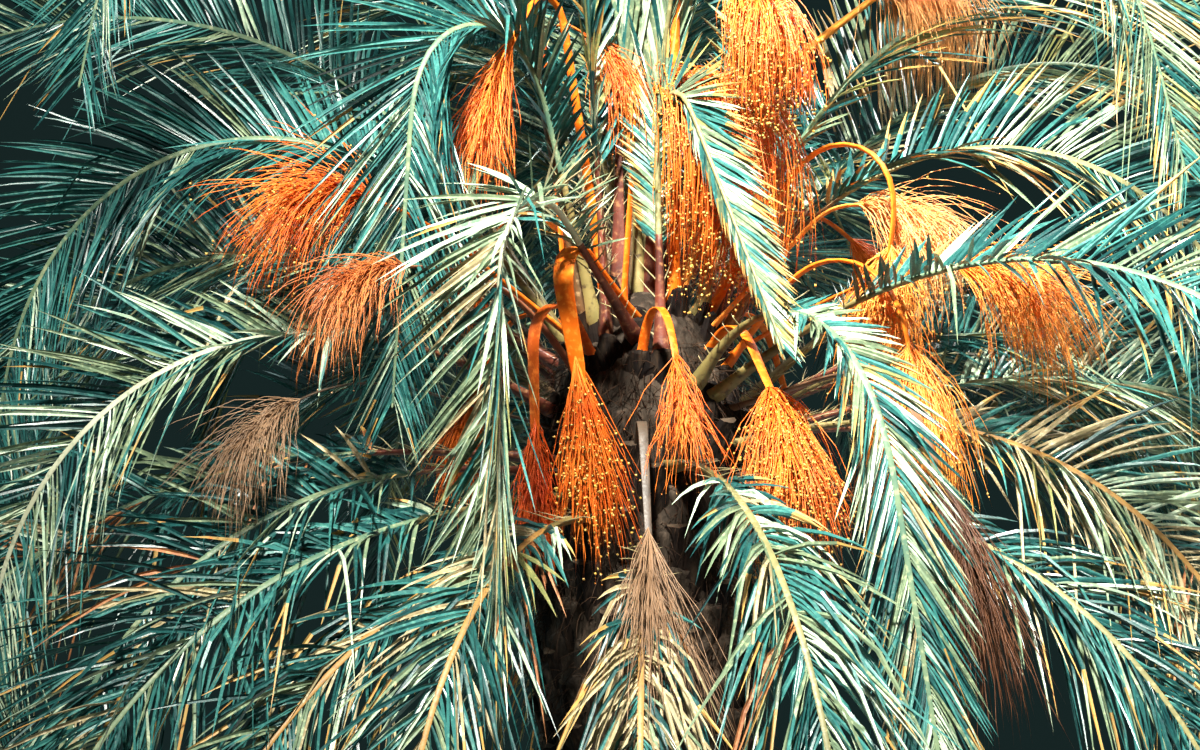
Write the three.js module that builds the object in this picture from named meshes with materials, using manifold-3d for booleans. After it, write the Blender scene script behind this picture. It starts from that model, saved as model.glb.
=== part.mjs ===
// Date palm: a short thick trunk, a crown of arching feather fronds and orange flower bunches.
// Millimetres and degrees, +Z up, origin at the middle of the trunk's flat foot on level ground.
// The side that faces the viewer is -Y. A turn of 0 points to -Y, +90 to +X, -90 to -X, 180 back.

import * as THREE from "three";
import Module from "manifold-3d";

const wasm = await Module();
wasm.setup();

// Trunk: a flared foot, a thick stem and a domed head that carries the crown
const HEAD_HEIGHT = 2450;
const HEAD_RADIUS = 270;
const HEAD_RISE = 420;
const NECK_LENGTH = 330;
const FOOT_RADIUS = 430;
const FLARE_HEIGHT = 420;
const TRUNK_RADIUS = 300;
const COLLAR_RADIUS = 315;
const COLLAR_START = 1300;
const COLLAR_LENGTH = 700;
const SCAR_RELIEF = 22;
const TRUNK_SIDES = 24;
const STEM_ROWS = 24;
const HEAD_ROWS = [0.1, 0.28, 0.46, 0.6, 0.72, 0.82, 0.9, 0.96];

// Clearances
const SEAT_GAP = 0.3;
const CLEAR = 1;
const TRUNK_CLEAR = 60;
const GROUND_CLEAR = 20;
const ROOT_DEPTH = 60;
const TOOTH_RIM = 0.045;

// Frond: a rib with three sides, bare on its petiole, then leaflets on both sides
const PETIOLE_WIDTH = 48;
const RIB_WIDTH = 23;
const RIB_TIP_WIDTH = 7;
const RIB_DEPTH_SHARE = 0.6;
const PETIOLE_SHARE = 0.2;
const PETIOLE_STATIONS = [0, 0.07, 0.14];
const BLADE_END = 0.985;
const TIP_SHARE = 0.06;
const LINE_STEPS = 40;
const LEAFLET_LENGTH = 430;
const LEAFLETS_A_SIDE = 14;
const LEAFLET_LIFT = 22;
const LEAFLET_SAG = 0.1;
const OPEN_AT_FOOT = 62;
const OPEN_AT_TIP = 30;
const LEAFLET_SIZES = [1, 0.78, 0.56, 0.36];
const SIDE_ROLL = 62;

// Flower bunch: a flat stalk and a broom of strands at its end
const STALK_WIDTH = 44;
const STALK_TIP_WIDTH = 22;
const STALK_DEPTH_SHARE = 0.4;
const STALK_STEPS = 24;
const STALK_STATIONS = [0, 0.2, 0.4, 0.6, 0.8];
const BROOM_LENGTH = 200;
const BROOM_STEPS = 4;
const BROOM_RINGS = 5;
const BROOM_SAG = 0.12;
const STRAND_OPEN = 24;
const STRAND_OPEN_MORE = 14;
const STRAND_SIZES = [1, 0.75, 0.5, 0.3];
const FIRST_STRAND_SEED = 300;

// Fronds that the front view shows one by one. grow holds the turn, the rise at the foot and at
// the tip, the length, and where along it the bend starts and ends. cut is where a hooked frond is
// parted at its bend, foot is the turn and rise of a foot that sits elsewhere on the head, roll
// turns the blade about its rib, spread scales how far the leaflets open, and reach their length.
const FRONDS = {
  left_arch: { grow: [-88, 54, -88, 2800, 0, 1], foot: [-88, 62], roll: -75 },
  front_hook: { grow: [-27, 37, -89, 2200, 0.24, 0.52],
    cut: 0.4, foot: [-7, 68], roll: 38, spread: 1.1, reach: 0.88 },
  heart_hook: { grow: [31, 92, -56, 1760, 0.37, 0.55],
    cut: 0.47, foot: [10, 56], roll: -95, spread: 0.8, reach: 0.54 },
  high_hook: { grow: [-49, 73, -85, 2250, 0.28, 0.66], cut: 0.48, spread: 0.8 },
  right_arch: { grow: [82, 65, -88, 2700, -0.1, 1], roll: 75 },
  right_hook: { grow: [31, 44, -75, 2500, 0, 0.52], cut: 0.3, roll: 40, spread: 0.62, reach: 0.7 },
  left_bow: { grow: [-70, 32, -98, 2800, -0.05, 1] },
  left_low: { grow: [-63, 9, -82, 2400, -0.05, 1.05], foot: [-63, 6] },
  left_lower: { grow: [-53, -2, -73, 2500, 0.05, 1.05], spread: 0.8 },
  left_skirt: { grow: [-42, -9, -61, 2200, 0, 1.05], spread: 0.7 },
  right_low: { grow: [68, 19, -82, 2500, -0.1, 1] },
  right_level: { grow: [95, 17, -49, 2800, 0, 1.1] },
  right_skirt: { grow: [58, 2, -77, 2400, -0.05, 1.05], spread: 0.7 },
  front_left: { grow: [-25, 11, -84, 2200, -0.05, 0.9], foot: [-25, -14], spread: 0.7 },
  front_low: { grow: [-2, -8, -85, 2000, 0, 0.9], foot: [-2, -22], spread: 0.7 },
  front_right: { grow: [15, 13, -81, 2350, -0.15, 0.95], spread: 0.7 },
  right_rise: { grow: [107, 68, -22, 2750, 0, 1] },
  right_back: { grow: [116, 56, -39, 2900, 0, 1.1] },
  left_back: { grow: [-105, 59, -23, 2900, -0.05, 1.1] },
  left_high: { grow: [-72, 77, -78, 3050, 0.26, 0.96], cut: 0.5 },
  right_high: { grow: [75, 81, -75, 3000, 0.2, 0.9], cut: 0.5 },
  centre_upright: { grow: [165, 89, 10, 2600, 0.4, 1], foot: [-61, 98], roll: 0, spread: 0.6 },
  centre_left_upright: { grow: [-107, 86, -14, 2720, 0.3, 1],
    foot: [-29, 63], roll: 0, spread: 0.6 },
};

// Flower bunches: grow is as for a frond but for the flat stalk, strand is the strands' length,
// and hang how strongly they droop.
const BUNCHES = {
  bunch_front: [{ grow: [-30, 34, -108, 800, 0.42, 0.75], strand: 500, hang: 0.3, foot: [-9, 79] }],
  bunch_front_left: [{ grow: [-38, 54, -92, 680, 0.2, 0.72], strand: 330, hang: 0.4 }],
  bunch_centre: [{ grow: [16, 63, -59, 480, 0.13, 0.95], strand: 300, hang: 0.6, foot: [-5, 55] }],
  bunch_right_front: [{ grow: [19, 41, -41, 520, 0.03, 0.74], strand: 420, hang: 0.9, foot: [59, 60] }],
  bunch_tall: [{ grow: [75, 86, 3, 760, 0.73, 1], strand: 700, hang: 3.6, foot: [-29, 83] }],
  bunch_top_left: [{ grow: [-42, 77, -57, 1210, 0.7, 0.9], strand: 380, hang: 0.7, foot: [-51, 85] }],
  bunch_top: [{ grow: [76, 95, -42, 1170, 0.8, 0.97], strand: 300, hang: 1.2, foot: [-72, 54] }],
  bunch_top_right: [{ grow: [36, 90, -18, 1210, 0.7, 0.91], strand: 420, hang: 2, foot: [42, 90] }],
  bunch_high_right: [{ grow: [108, 69, 36, 1220, 0.28, 0.85], strand: 480, hang: 1.8, foot: [93, 97] }],
  bunch_yellow: [{ grow: [82, 46, -1, 630, 0.7, 1], strand: 420, hang: 1, foot: [64, 71] }],
  bunch_right_arch: [{ grow: [57, 56, -97, 1160, 0.41, 0.95], strand: 360, hang: 1.3, foot: [94, 76] }],
  bunch_right_level: [{ grow: [65, 29, 4, 810, 0.32, 1.03], strand: 450, hang: 0.8, foot: [93, 56] }],
  bunch_right_low: [{ grow: [52, 50, -77, 930, 0.28, 1], strand: 420, hang: 1.3, foot: [68, 50] }],
  bunch_left_high: [{ grow: [-64, 37, 19, 800, 0.55, 1.04], strand: 430, hang: 0.7, foot: [-57, 63] }],
  bunch_left: [{ grow: [-45, 46, 0, 820, 0.14, 1], strand: 360, hang: 0.9, foot: [-49, 47] }],
  bunch_dry_front: [{ grow: [3, 47, -53, 590, 0.2, 0.5], strand: 600, hang: 0.3, foot: [-6, 14] }],
  bunch_dry_left: [{ grow: [-52, 16, -33, 940, 0.49, 1.2], strand: 340, hang: 0.9, foot: [-84, 24] }],
  bunch_dry_right: [{ grow: [39, 16, -68, 1020, 0.38, 0.95], strand: 600, hang: 0.5, foot: [66, 34] }],
  back_bunches_right: [
    { grow: [132, 62, -30, 1050, 0.2, 1], strand: 420, hang: 0.6 },
    { grow: [146, 40, -60, 800, 0.1, 0.9], strand: 420, hang: 0.6 },
  ],
  back_bunches_left: [
    { grow: [-150, 62, -30, 1050, 0.2, 1], strand: 420, hang: 0.6 },
    { grow: [-138, 40, -60, 800, 0.1, 0.9], strand: 420, hang: 0.6 },
  ],
};

// Fronds of the back and sides: sites spread by golden steps, with several fronds to a site.
// The first sites are the youngest and steepest, the last ones hang lowest.
const SITES = 9;
const SITE_TURNS = [0, 18, -16, 5, -24, 30, -33, 11, -8];
const SITE_RISES = [0, -8, 9, -20, -13, 12, 3, 18, -30];
const SITE_JITTER = 4;
const AGE_NARROWS = 0.4;
const YOUNGEST_RISE = 80;
const OLDEST_RISE = 2;
const BACK_START = 30;
const BACK_SPAN = 300;
const GOLDEN = 0.618034;
const GOLDEN_START = 0.56;
const BACK_LENGTH = 2450;
const BACK_LENGTH_MORE = 500;
const BACK_LEAFLETS = 9;
const BACK_ROLL = 50;
const BACK_SEED = 11;
const STEEP = 60;
const FROND_SPACE = 85;
const FOOT_STEPS = 3;
const FOOT_SPREAD = 0.2;
const STALK_SPREAD = 0.12;

// Young fronds that still stand upright at the heart
const SPEARS = 5;
const SPEAR_LENGTH = 1900;
const SPEAR_SHORTER = 0.06;
const SPEAR_RING = 22;
const SPEAR_SINK = 4;
const SPEAR_TURN = 100;
const SPEAR_RISE = 86;
const SPEAR_FALL = 62;
const SPEAR_LEAFLETS = 7;
const SPEAR_SPREAD = 0.35;

const FROND_COLOUR = 0x3f6f68;
const BUNCH_COLOUR = 0xd9701c;
const DRY_COLOUR = 0x6d4a33;
const TRUNK_COLOUR = 0x6b5a48;

const radians = THREE.MathUtils.degToRad;

function smooth(t) {
  const c = Math.min(1, Math.max(0, t));
  return c * c * (3 - 2 * c);
}

function mix(a, b, t) {
  return a + (b - a) * t;
}

// Seeded draws between 0 and 1
function drawer(seed) {
  let state = seed;
  return () => {
    state = (state * 16807) % 2147483647;
    return state / 2147483647;
  };
}

function heading(turn, slope) {
  const a = radians(turn);
  const s = radians(slope);
  return new THREE.Vector3(Math.cos(s) * Math.sin(a), -Math.cos(s) * Math.cos(a), Math.sin(s));
}

// A foot on the domed head, worked out from where a frond points and how steeply it rises.
function footPoint(turn, rise) {
  const out = heading(turn, (rise - 25) * 0.95);
  return new THREE.Vector3(
    HEAD_RADIUS * out.x, HEAD_RADIUS * out.y, HEAD_HEIGHT + HEAD_RISE * out.z);
}

// Centre line of a frond or stalk: its points, its heading at each, and its level side direction.
function centreLine(grow, steps, foot) {
  const [turn, rise, fall, length, bendFrom, bendTo] = grow;
  const at = [foot ?? footPoint(turn, rise)];
  const along = [];
  for (let i = 0; i < steps; i += 1) {
    const middle = (i + 0.5) / steps;
    const slope = mix(rise, fall, smooth((middle - bendFrom) / (bendTo - bendFrom)));
    along.push(heading(turn, slope));
    at.push(at[i].clone().addScaledVector(along[i], length / steps));
  }
  along.push(along[steps - 1]);
  return { at, along, level: heading(turn + 90, 0), steps };
}

// A cross frame at a share of the line, rolled about its forward direction.
function frameAt(line, share, roll) {
  const place = Math.min(line.steps, share * line.steps);
  const i = Math.min(line.steps - 1, Math.floor(place));
  const t = place - i;
  const point = line.at[i].clone().lerp(line.at[i + 1], t);
  const before = line.along[Math.max(0, i - 1)];
  const forward = t < 0.5
    ? before.clone().lerp(line.along[i], 0.5 + t)
    : line.along[i].clone().lerp(line.along[i + 1], t - 0.5);
  forward.normalize();
  const up = forward.clone().cross(line.level).normalize();
  const c = Math.cos(radians(roll));
  const s = Math.sin(radians(roll));
  const side = line.level.clone().multiplyScalar(c).addScaledVector(up, s);
  const normal = up.multiplyScalar(c).addScaledVector(line.level, -s);
  return { point, forward, side, normal, share };
}

// Three corners of a rib's section: left edge, right edge and keel
function section(frame, width, depthShare) {
  return [
    frame.point.clone().addScaledVector(frame.side, -width / 2),
    frame.point.clone().addScaledVector(frame.side, width / 2),
    frame.point.clone().addScaledVector(frame.normal, -width * depthShare),
  ];
}

// A plain convex piece of a blade, with the edges that its separating directions come from
function chunk(points, owner) {
  const box = new THREE.Box3().setFromPoints(points).expandByScalar(CLEAR);
  const edges = [];
  for (let i = 0; i < points.length; i += 1) {
    for (let j = i + 1; j < points.length; j += 1) {
      edges.push(points[j].clone().sub(points[i]));
    }
  }
  return { points, edges, owner, box };
}

function span(points, axis) {
  const reach = points.map((p) => p.dot(axis));
  return [Math.min(...reach), Math.max(...reach)];
}

function apartAlong(a, b, axis) {
  const [lowA, highA] = span(a.points, axis);
  const [lowB, highB] = span(b.points, axis);
  return Math.max(lowB - highA, lowA - highB) > CLEAR * axis.length();
}

// Two convex pieces are apart where some direction keeps a clear gap between them.
function separated(a, b) {
  for (const e of a.edges) {
    for (const f of b.edges) {
      if (apartAlong(a, b, e.clone().cross(f))) return true;
    }
  }
  for (const piece of [a, b]) {
    for (let i = 0; i < piece.edges.length; i += 1) {
      for (let j = i + 1; j < piece.edges.length; j += 1) {
        if (apartAlong(a, b, piece.edges[i].clone().cross(piece.edges[j]))) return true;
      }
    }
  }
  return false;
}

const chunks = [];

function solidFrom(corners, faces) {
  return new wasm.Manifold(new wasm.Mesh({
    numProp: 3,
    vertProperties: new Float32Array(corners),
    triVerts: new Uint32Array(faces),
  }));
}

// Trunk outline: radius at a height, from the root flare to the dome
function trunkRadius(z) {
  const flare = (FOOT_RADIUS - TRUNK_RADIUS) * Math.max(0, 1 - z / FLARE_HEIGHT) ** 2;
  const collar = (COLLAR_RADIUS - TRUNK_RADIUS) * smooth((z - COLLAR_START) / COLLAR_LENGTH);
  const rise = (z - HEAD_HEIGHT) / HEAD_RISE;
  const dome = HEAD_RADIUS * Math.sqrt(Math.max(0, 1 - rise * rise));
  const neck = smooth((z - HEAD_HEIGHT + NECK_LENGTH) / NECK_LENGTH);
  return mix(TRUNK_RADIUS + flare + collar, dome, neck);
}

// Trunk rows are staggered, and every third corner stands out as the stub of an old frond.
function trunkSolid(gap) {
  const stemTop = HEAD_HEIGHT - NECK_LENGTH;
  const top = HEAD_HEIGHT + HEAD_RISE;
  const rows = [];
  for (let i = 0; i <= STEM_ROWS; i += 1) {
    rows.push({ z: stemTop * i / STEM_ROWS, scarred: i > 0 });
  }
  for (const share of HEAD_ROWS) {
    rows.push({ z: mix(stemTop, top, share), scarred: false });
  }
  const corners = [];
  rows.forEach(({ z, scarred }, row) => {
    const stagger = row % 2;
    for (let k = 0; k < TRUNK_SIDES; k += 1) {
      const a = 2 * Math.PI * (k + stagger / 2) / TRUNK_SIDES;
      const raised = scarred && (k + stagger + row) % 3 === 0;
      const r = trunkRadius(z) + (raised ? SCAR_RELIEF : 0) + gap;
      corners.push(r * Math.cos(a), r * Math.sin(a), row === 0 ? -gap : z);
    }
  });
  const footMiddle = corners.length / 3;
  corners.push(0, 0, -gap, 0, 0, top + gap);
  const faces = [];
  for (let k = 0; k < TRUNK_SIDES; k += 1) {
    const next = (k + 1) % TRUNK_SIDES;
    for (let row = 0; row + 1 < rows.length; row += 1) {
      const [a, b] = [row * TRUNK_SIDES + k, row * TRUNK_SIDES + next];
      const [c, d] = [a + TRUNK_SIDES, b + TRUNK_SIDES];
      if (row % 2 === 0) faces.push(a, b, c, b, d, c);
      else faces.push(a, b, d, a, d, c);
    }
    const last = (rows.length - 1) * TRUNK_SIDES;
    faces.push(footMiddle, next, k, footMiddle + 1, last + k, last + next);
  }
  return solidFrom(corners, faces);
}

// The three faces of a rib between two stations, right, left and top, as pairs of corners.
// Each face can rise to one tooth: a spray of leaflets, or of strands.
const FACES = [[1, 2], [2, 0], [0, 1]];

function bladeFrom(name, group, line, shape) {
  const frames = shape.stations.map((share) => {
    const frame = frameAt(line, share, shape.roll(share));
    return { ...frame, corners: section(frame, shape.width(share), shape.depth) };
  });
  const first = frames[0];
  const root = first.corners.map((p) => p.clone().addScaledVector(first.forward, -ROOT_DEPTH));
  const last = frames[frames.length - 1];
  const tip = last.point.clone().addScaledVector(last.forward, shape.tipLength);
  tip.z -= shape.tipSag;
  const owner = { name, group };
  const pieces = [chunk([...last.corners, tip], owner)];
  for (let i = 0; i + 1 < frames.length; i += 1) {
    pieces.push(chunk([...frames[i].corners, ...frames[i + 1].corners], owner));
  }
  chunks.push(...pieces);
  return { name, group, owner, line, frames, root, tip, pieces, teeth: new Map() };
}

function clearOf(piece, others) {
  return others.every((other) => !other.box.intersectsBox(piece.box) || separated(piece, other));
}

// Two teeth that share an edge keep their order along the rib.
function inOrder(p, q, before, after, ahead) {
  const normal = q.clone().sub(p).cross(after.clone().sub(p));
  return before.clone().sub(p).dot(normal) * ahead.clone().sub(p).dot(normal) < 0;
}

// A tooth keeps its full length where there is room, is shortened where there is less, and is
// left out where it would touch the trunk, the ground or another blade. Past its rim it keeps
// clear of the rest of its own blade too.
function growTooth(blade, i, face, reach, sizes) {
  const [m, n] = FACES[face];
  const near = blade.frames[i].corners;
  const far = blade.frames[i + 1].corners;
  const base = [near[m], far[m], far[n], near[n]];
  const root = new THREE.Vector3();
  base.forEach((p) => root.addScaledVector(p, 1 / base.length));
  const own = [...blade.teeth.values()].filter((tooth) => tooth.face === face);
  for (const size of sizes) {
    const apex = root.clone().addScaledVector(reach, size);
    const tooth = { ...chunk([...base, apex], blade.owner), apex, face, station: i };
    const rim = base.map((p) => p.clone().lerp(apex, TOOTH_RIM));
    const outer = chunk([...rim, apex], blade.owner);
    const outside = apex.z > HEAD_HEIGHT
      || Math.hypot(apex.x, apex.y) > COLLAR_RADIUS + TRUNK_CLEAR;
    const inTurn = own.every((other) => (other.station < i - 1
      ? separated(tooth, other)
      : inOrder(near[m], near[n], other.apex, apex, far[m])));
    const free = clearOf(outer, blade.pieces)
      && clearOf(tooth, chunks.filter((other) => other.owner.group !== blade.group));
    if (outside && inTurn && apex.z > GROUND_CLEAR && free) {
      blade.teeth.set(`${i}/${face}`, tooth);
      blade.pieces.push(outer);
      chunks.push(tooth);
      return;
    }
  }
}

// Closed solid of a blade from one station to another
function bladeSolid(blade, from, to) {
  const corners = [];
  const faces = [];
  const put = (p) => {
    corners.push(p.x, p.y, p.z);
    return corners.length / 3 - 1;
  };
  const start = from === 0 ? blade.root : blade.frames[from].corners
    .map((p) => p.clone().addScaledVector(blade.frames[from].forward, SEAT_GAP));
  const inner = from === 0 ? 0 : from + 1;
  const rings = [start, ...blade.frames.slice(inner, to + 1).map((frame) => frame.corners)]
    .map((ring) => ring.map(put));
  faces.push(...rings[0]);
  for (let k = 0; k + 1 < rings.length; k += 1) {
    const near = rings[k];
    const far = rings[k + 1];
    const station = k + inner - 1;
    FACES.forEach(([m, n], face) => {
      const tooth = blade.teeth.get(`${station}/${face}`);
      if (tooth) {
        const p = put(tooth.apex);
        faces.push(near[m], p, near[n], near[m], far[m], p);
        faces.push(far[m], far[n], p, far[n], near[n], p);
      } else {
        faces.push(near[m], far[m], near[n], far[m], far[n], near[n]);
      }
    });
  }
  const end = rings[rings.length - 1];
  if (to === blade.frames.length - 1) {
    const tip = put(blade.tip);
    FACES.forEach(([m, n]) => faces.push(end[m], tip, end[n]));
  } else {
    faces.push(end[0], end[2], end[1]);
  }
  return solidFrom(corners, faces);
}

function ribWidth(share) {
  if (share < PETIOLE_SHARE) return mix(PETIOLE_WIDTH, RIB_WIDTH, smooth(share / PETIOLE_SHARE));
  return mix(RIB_WIDTH, RIB_TIP_WIDTH, (share - PETIOLE_SHARE) / (1 - PETIOLE_SHARE));
}

// Leaflets are short near the petiole, longest in the middle and short again at the tip.
function leafletLength(u) {
  const opening = 0.4 + 0.6 * smooth(u / 0.3);
  const closing = 1 - 0.6 * Math.max(0, (u - 0.55) / 0.45) ** 1.6;
  return LEAFLET_LENGTH * opening * closing;
}

// A frond that leaves sideways turns its blade on edge, more so towards its tip.
function sideRoll(turn) {
  return SIDE_ROLL * Math.sin(radians(turn));
}

const fronds = [];
const bunches = [];

function addFrond(name, grow, options = {}) {
  const { foot, cut, roll = sideRoll(grow[0]), leaflets = LEAFLETS_A_SIDE } = options;
  const { spread = 1, reach = 1 } = options;
  const stations = [...PETIOLE_STATIONS];
  for (let k = 0; k <= leaflets; k += 1) {
    stations.push(mix(PETIOLE_SHARE, BLADE_END, (k / leaflets) ** 0.92));
  }
  const blade = bladeFrom(name, name, centreLine(grow, LINE_STEPS, foot), {
    stations,
    roll: (share) => roll * smooth((share - 0.1) / 0.5),
    width: ribWidth,
    depth: RIB_DEPTH_SHARE,
    tipLength: grow[3] * TIP_SHARE,
    tipSag: 0,
  });
  fronds.push({ ...blade, spread, reach, cut });
}

function growLeaflets(frond) {
  const lift = radians(LEAFLET_LIFT);
  for (let i = PETIOLE_STATIONS.length; i + 1 < frond.frames.length; i += 1) {
    const frame = frond.frames[i];
    const cutHere = frame.share < frond.cut && frond.frames[i + 1].share >= frond.cut;
    if (cutHere) continue;
    const u = (frame.share - PETIOLE_SHARE) / (1 - PETIOLE_SHARE);
    const open = radians(mix(OPEN_AT_FOOT, OPEN_AT_TIP, u) * frond.spread);
    for (const face of [0, 1]) {
      const hand = face === 0 ? 1 : -1;
      const out = frame.forward.clone().multiplyScalar(Math.cos(open))
        .addScaledVector(frame.side, hand * Math.sin(open) * Math.cos(lift))
        .addScaledVector(frame.normal, Math.sin(open) * Math.sin(lift));
      out.z -= LEAFLET_SAG;
      out.multiplyScalar(leafletLength(u) * frond.reach);
      growTooth(frond, i, face, out, LEAFLET_SIZES);
    }
  }
}

function addBunch(name, { grow, strand, hang }, foot) {
  const line = centreLine(grow, STALK_STEPS, foot);
  const last = line.along[STALK_STEPS];
  for (let k = 1; k <= BROOM_STEPS; k += 1) {
    const forward = last.clone();
    forward.z -= BROOM_SAG * k;
    forward.normalize();
    const end = line.at[line.at.length - 1];
    line.at.push(end.clone().addScaledVector(forward, BROOM_LENGTH / BROOM_STEPS));
    line.along.push(forward);
  }
  line.steps += BROOM_STEPS;
  const stalkShare = STALK_STEPS / line.steps;
  const stations = STALK_STATIONS.map((share) => share * stalkShare);
  for (let k = 0; k <= BROOM_RINGS; k += 1) {
    stations.push(mix(stalkShare, BLADE_END, k / BROOM_RINGS));
  }
  const blade = bladeFrom(name, name, line, {
    stations,
    roll: () => 0,
    width: (share) => mix(STALK_WIDTH, STALK_TIP_WIDTH, share),
    depth: STALK_DEPTH_SHARE,
    tipLength: strand * 0.8,
    tipSag: strand * BROOM_SAG,
  });
  bunches.push({ ...blade, strand, hang });
}

function growStrands(bunch, index) {
  const draw = drawer(FIRST_STRAND_SEED + index);
  for (let i = STALK_STATIONS.length; i + 1 < bunch.frames.length; i += 1) {
    const { forward, side, normal } = bunch.frames[i];
    const outward = [
      side.clone().multiplyScalar(0.9).addScaledVector(normal, -0.45),
      side.clone().multiplyScalar(-0.9).addScaledVector(normal, -0.45),
      normal,
    ];
    outward.forEach((out, face) => {
      const open = radians(STRAND_OPEN + STRAND_OPEN_MORE * draw());
      const reach = forward.clone().multiplyScalar(Math.cos(open))
        .addScaledVector(out, Math.sin(open));
      reach.z -= bunch.hang;
      reach.normalize().multiplyScalar(bunch.strand * mix(0.75, 1, draw()));
      growTooth(bunch, i, face, reach, STRAND_SIZES);
    });
  }
}

// Stalks that share a foot are drawn together there, so that they grow as one piece.
function bunchFeet(list) {
  const feet = list.map(({ grow, foot }) => footPoint(...(foot ?? grow)));
  const middle = new THREE.Vector3();
  feet.forEach((p) => middle.addScaledVector(p, 1 / feet.length));
  return feet.map((p) => middle.clone().lerp(p, feet.length > 1 ? STALK_SPREAD : 1));
}

// Least distance between two centre lines, past the crowded first steps at the head
function lineGap(a, b) {
  let least = Infinity;
  for (const p of a.at.slice(FOOT_STEPS)) {
    for (const q of b.at.slice(FOOT_STEPS)) least = Math.min(least, p.distanceTo(q));
  }
  return least;
}

// A frond of a back site grows only where it stays clear of every frond and stalk before it.
function addBackFronds(site, draw) {
  const age = (site + 0.5) / SITES;
  const name = `back_fronds_${String(site + 1).padStart(2, "0")}`;
  const siteTurn = BACK_START + BACK_SPAN * ((site * GOLDEN + GOLDEN_START) % 1);
  const siteRise = mix(YOUNGEST_RISE, OLDEST_RISE, age);
  const siteFoot = footPoint(siteTurn, siteRise);
  const narrowing = 1 - AGE_NARROWS * age;
  SITE_TURNS.forEach((siteStep, k) => {
    const turn = siteTurn + siteStep * narrowing + (draw() - 0.5) * SITE_JITTER;
    const rise = siteRise + SITE_RISES[k] * narrowing + (draw() - 0.5) * SITE_JITTER;
    const length = BACK_LENGTH + BACK_LENGTH_MORE * draw();
    const droop = draw();
    const roll = sideRoll(turn) + BACK_ROLL * (draw() - 0.5);
    const fall = rise > STEEP ? -35 - 35 * droop : -62 - 24 * droop;
    const grow = [turn, rise, fall, length, 0, 1.05];
    const foot = siteFoot.clone().lerp(footPoint(turn, rise), FOOT_SPREAD);
    const line = centreLine(grow, LINE_STEPS, foot);
    const clear = [...fronds, ...bunches]
      .every((other) => other.name === name || lineGap(line, other.line) > FROND_SPACE);
    if (clear) addFrond(name, grow, { foot, roll, leaflets: BACK_LEAFLETS });
  });
}

function addSpear(k) {
  const turn = SPEAR_TURN + 360 * k / SPEARS;
  const foot = heading(turn, 0).multiplyScalar(SPEAR_RING);
  foot.z = HEAD_HEIGHT + HEAD_RISE - SPEAR_SINK;
  const length = SPEAR_LENGTH * (1 - SPEAR_SHORTER * k);
  const grow = [turn, SPEAR_RISE, SPEAR_FALL, length, 0.1, 1];
  addFrond("young_fronds", grow, { foot, roll: 0, leaflets: SPEAR_LEAFLETS, spread: SPEAR_SPREAD });
}

for (const [name, { grow, foot, ...options }] of Object.entries(FRONDS)) {
  addFrond(name, grow, { ...options, foot: foot && footPoint(...foot) });
}
for (const [name, list] of Object.entries(BUNCHES)) {
  const feet = bunchFeet(list);
  list.forEach((row, k) => addBunch(name, row, feet[k]));
}
const backDraw = drawer(BACK_SEED);
for (let site = 0; site < SITES; site += 1) addBackFronds(site, backDraw);
for (let k = 0; k < SPEARS; k += 1) addSpear(k);

bunches.forEach(growStrands);
fronds.forEach(growLeaflets);

function meshOf(solid, name, color, roughness) {
  const source = solid.getMesh();
  const geometry = new THREE.BufferGeometry();
  geometry.setAttribute("position", new THREE.BufferAttribute(source.vertProperties, 3));
  geometry.setIndex(new THREE.BufferAttribute(source.triVerts, 1));
  const mesh = new THREE.Mesh(
    geometry, new THREE.MeshStandardMaterial({ color, roughness, metalness: 0 }));
  mesh.name = name;
  return mesh;
}

// Blades start inside the head, and what is inside it is cut away to leave the seat gap.
const palm = new THREE.Group();
palm.add(meshOf(trunkSolid(0), "trunk", TRUNK_COLOUR, 0.95));
const seat = trunkSolid(SEAT_GAP);

function addParted(frond) {
  const cut = frond.frames.findIndex((frame) => frame.share >= frond.cut);
  const end = frond.frames.length - 1;
  const inner = bladeSolid(frond, 0, cut).subtract(seat);
  palm.add(meshOf(inner, `${frond.name}_foot`, FROND_COLOUR, 0.6));
  palm.add(meshOf(bladeSolid(frond, cut, end), `${frond.name}_tip`, FROND_COLOUR, 0.6));
}

function addGroups(blades, colourOf, roughness) {
  for (const name of new Set(blades.map((blade) => blade.name))) {
    const whole = blades.filter((blade) => blade.name === name)
      .map((blade) => bladeSolid(blade, 0, blade.frames.length - 1))
      .reduce((sum, solid) => sum.add(solid));
    palm.add(meshOf(whole.subtract(seat), name, colourOf(name), roughness));
  }
}

fronds.filter((frond) => frond.cut).forEach(addParted);
addGroups(fronds.filter((frond) => !frond.cut), () => FROND_COLOUR, 0.6);
addGroups(bunches, (name) => (name.includes("dry") ? DRY_COLOUR : BUNCH_COLOUR), 0.7);

export default palm;
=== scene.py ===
# %% [markdown]
# # A date palm with orange flower bunches
#
# The palm is a short thick trunk with a crown of arching feather fronds. Each frond is a stout
# rib with two rows of folded leaflets. Flat orange stalks carry brooms of thin strands.
#
# The solid model gives where every frond and bunch grows and how far it reaches. This lesson
# grows the same palm again by the same rule, with real leaflets, thorns, strands and fruits.
# Thousands of small things of one kind are best made as arrays of numbers and joined into one
# mesh. That is quick, and it keeps every leaflet a real shape.

# %% Tools and the solid model
import math
import time
from collections import defaultdict
from types import SimpleNamespace

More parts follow.
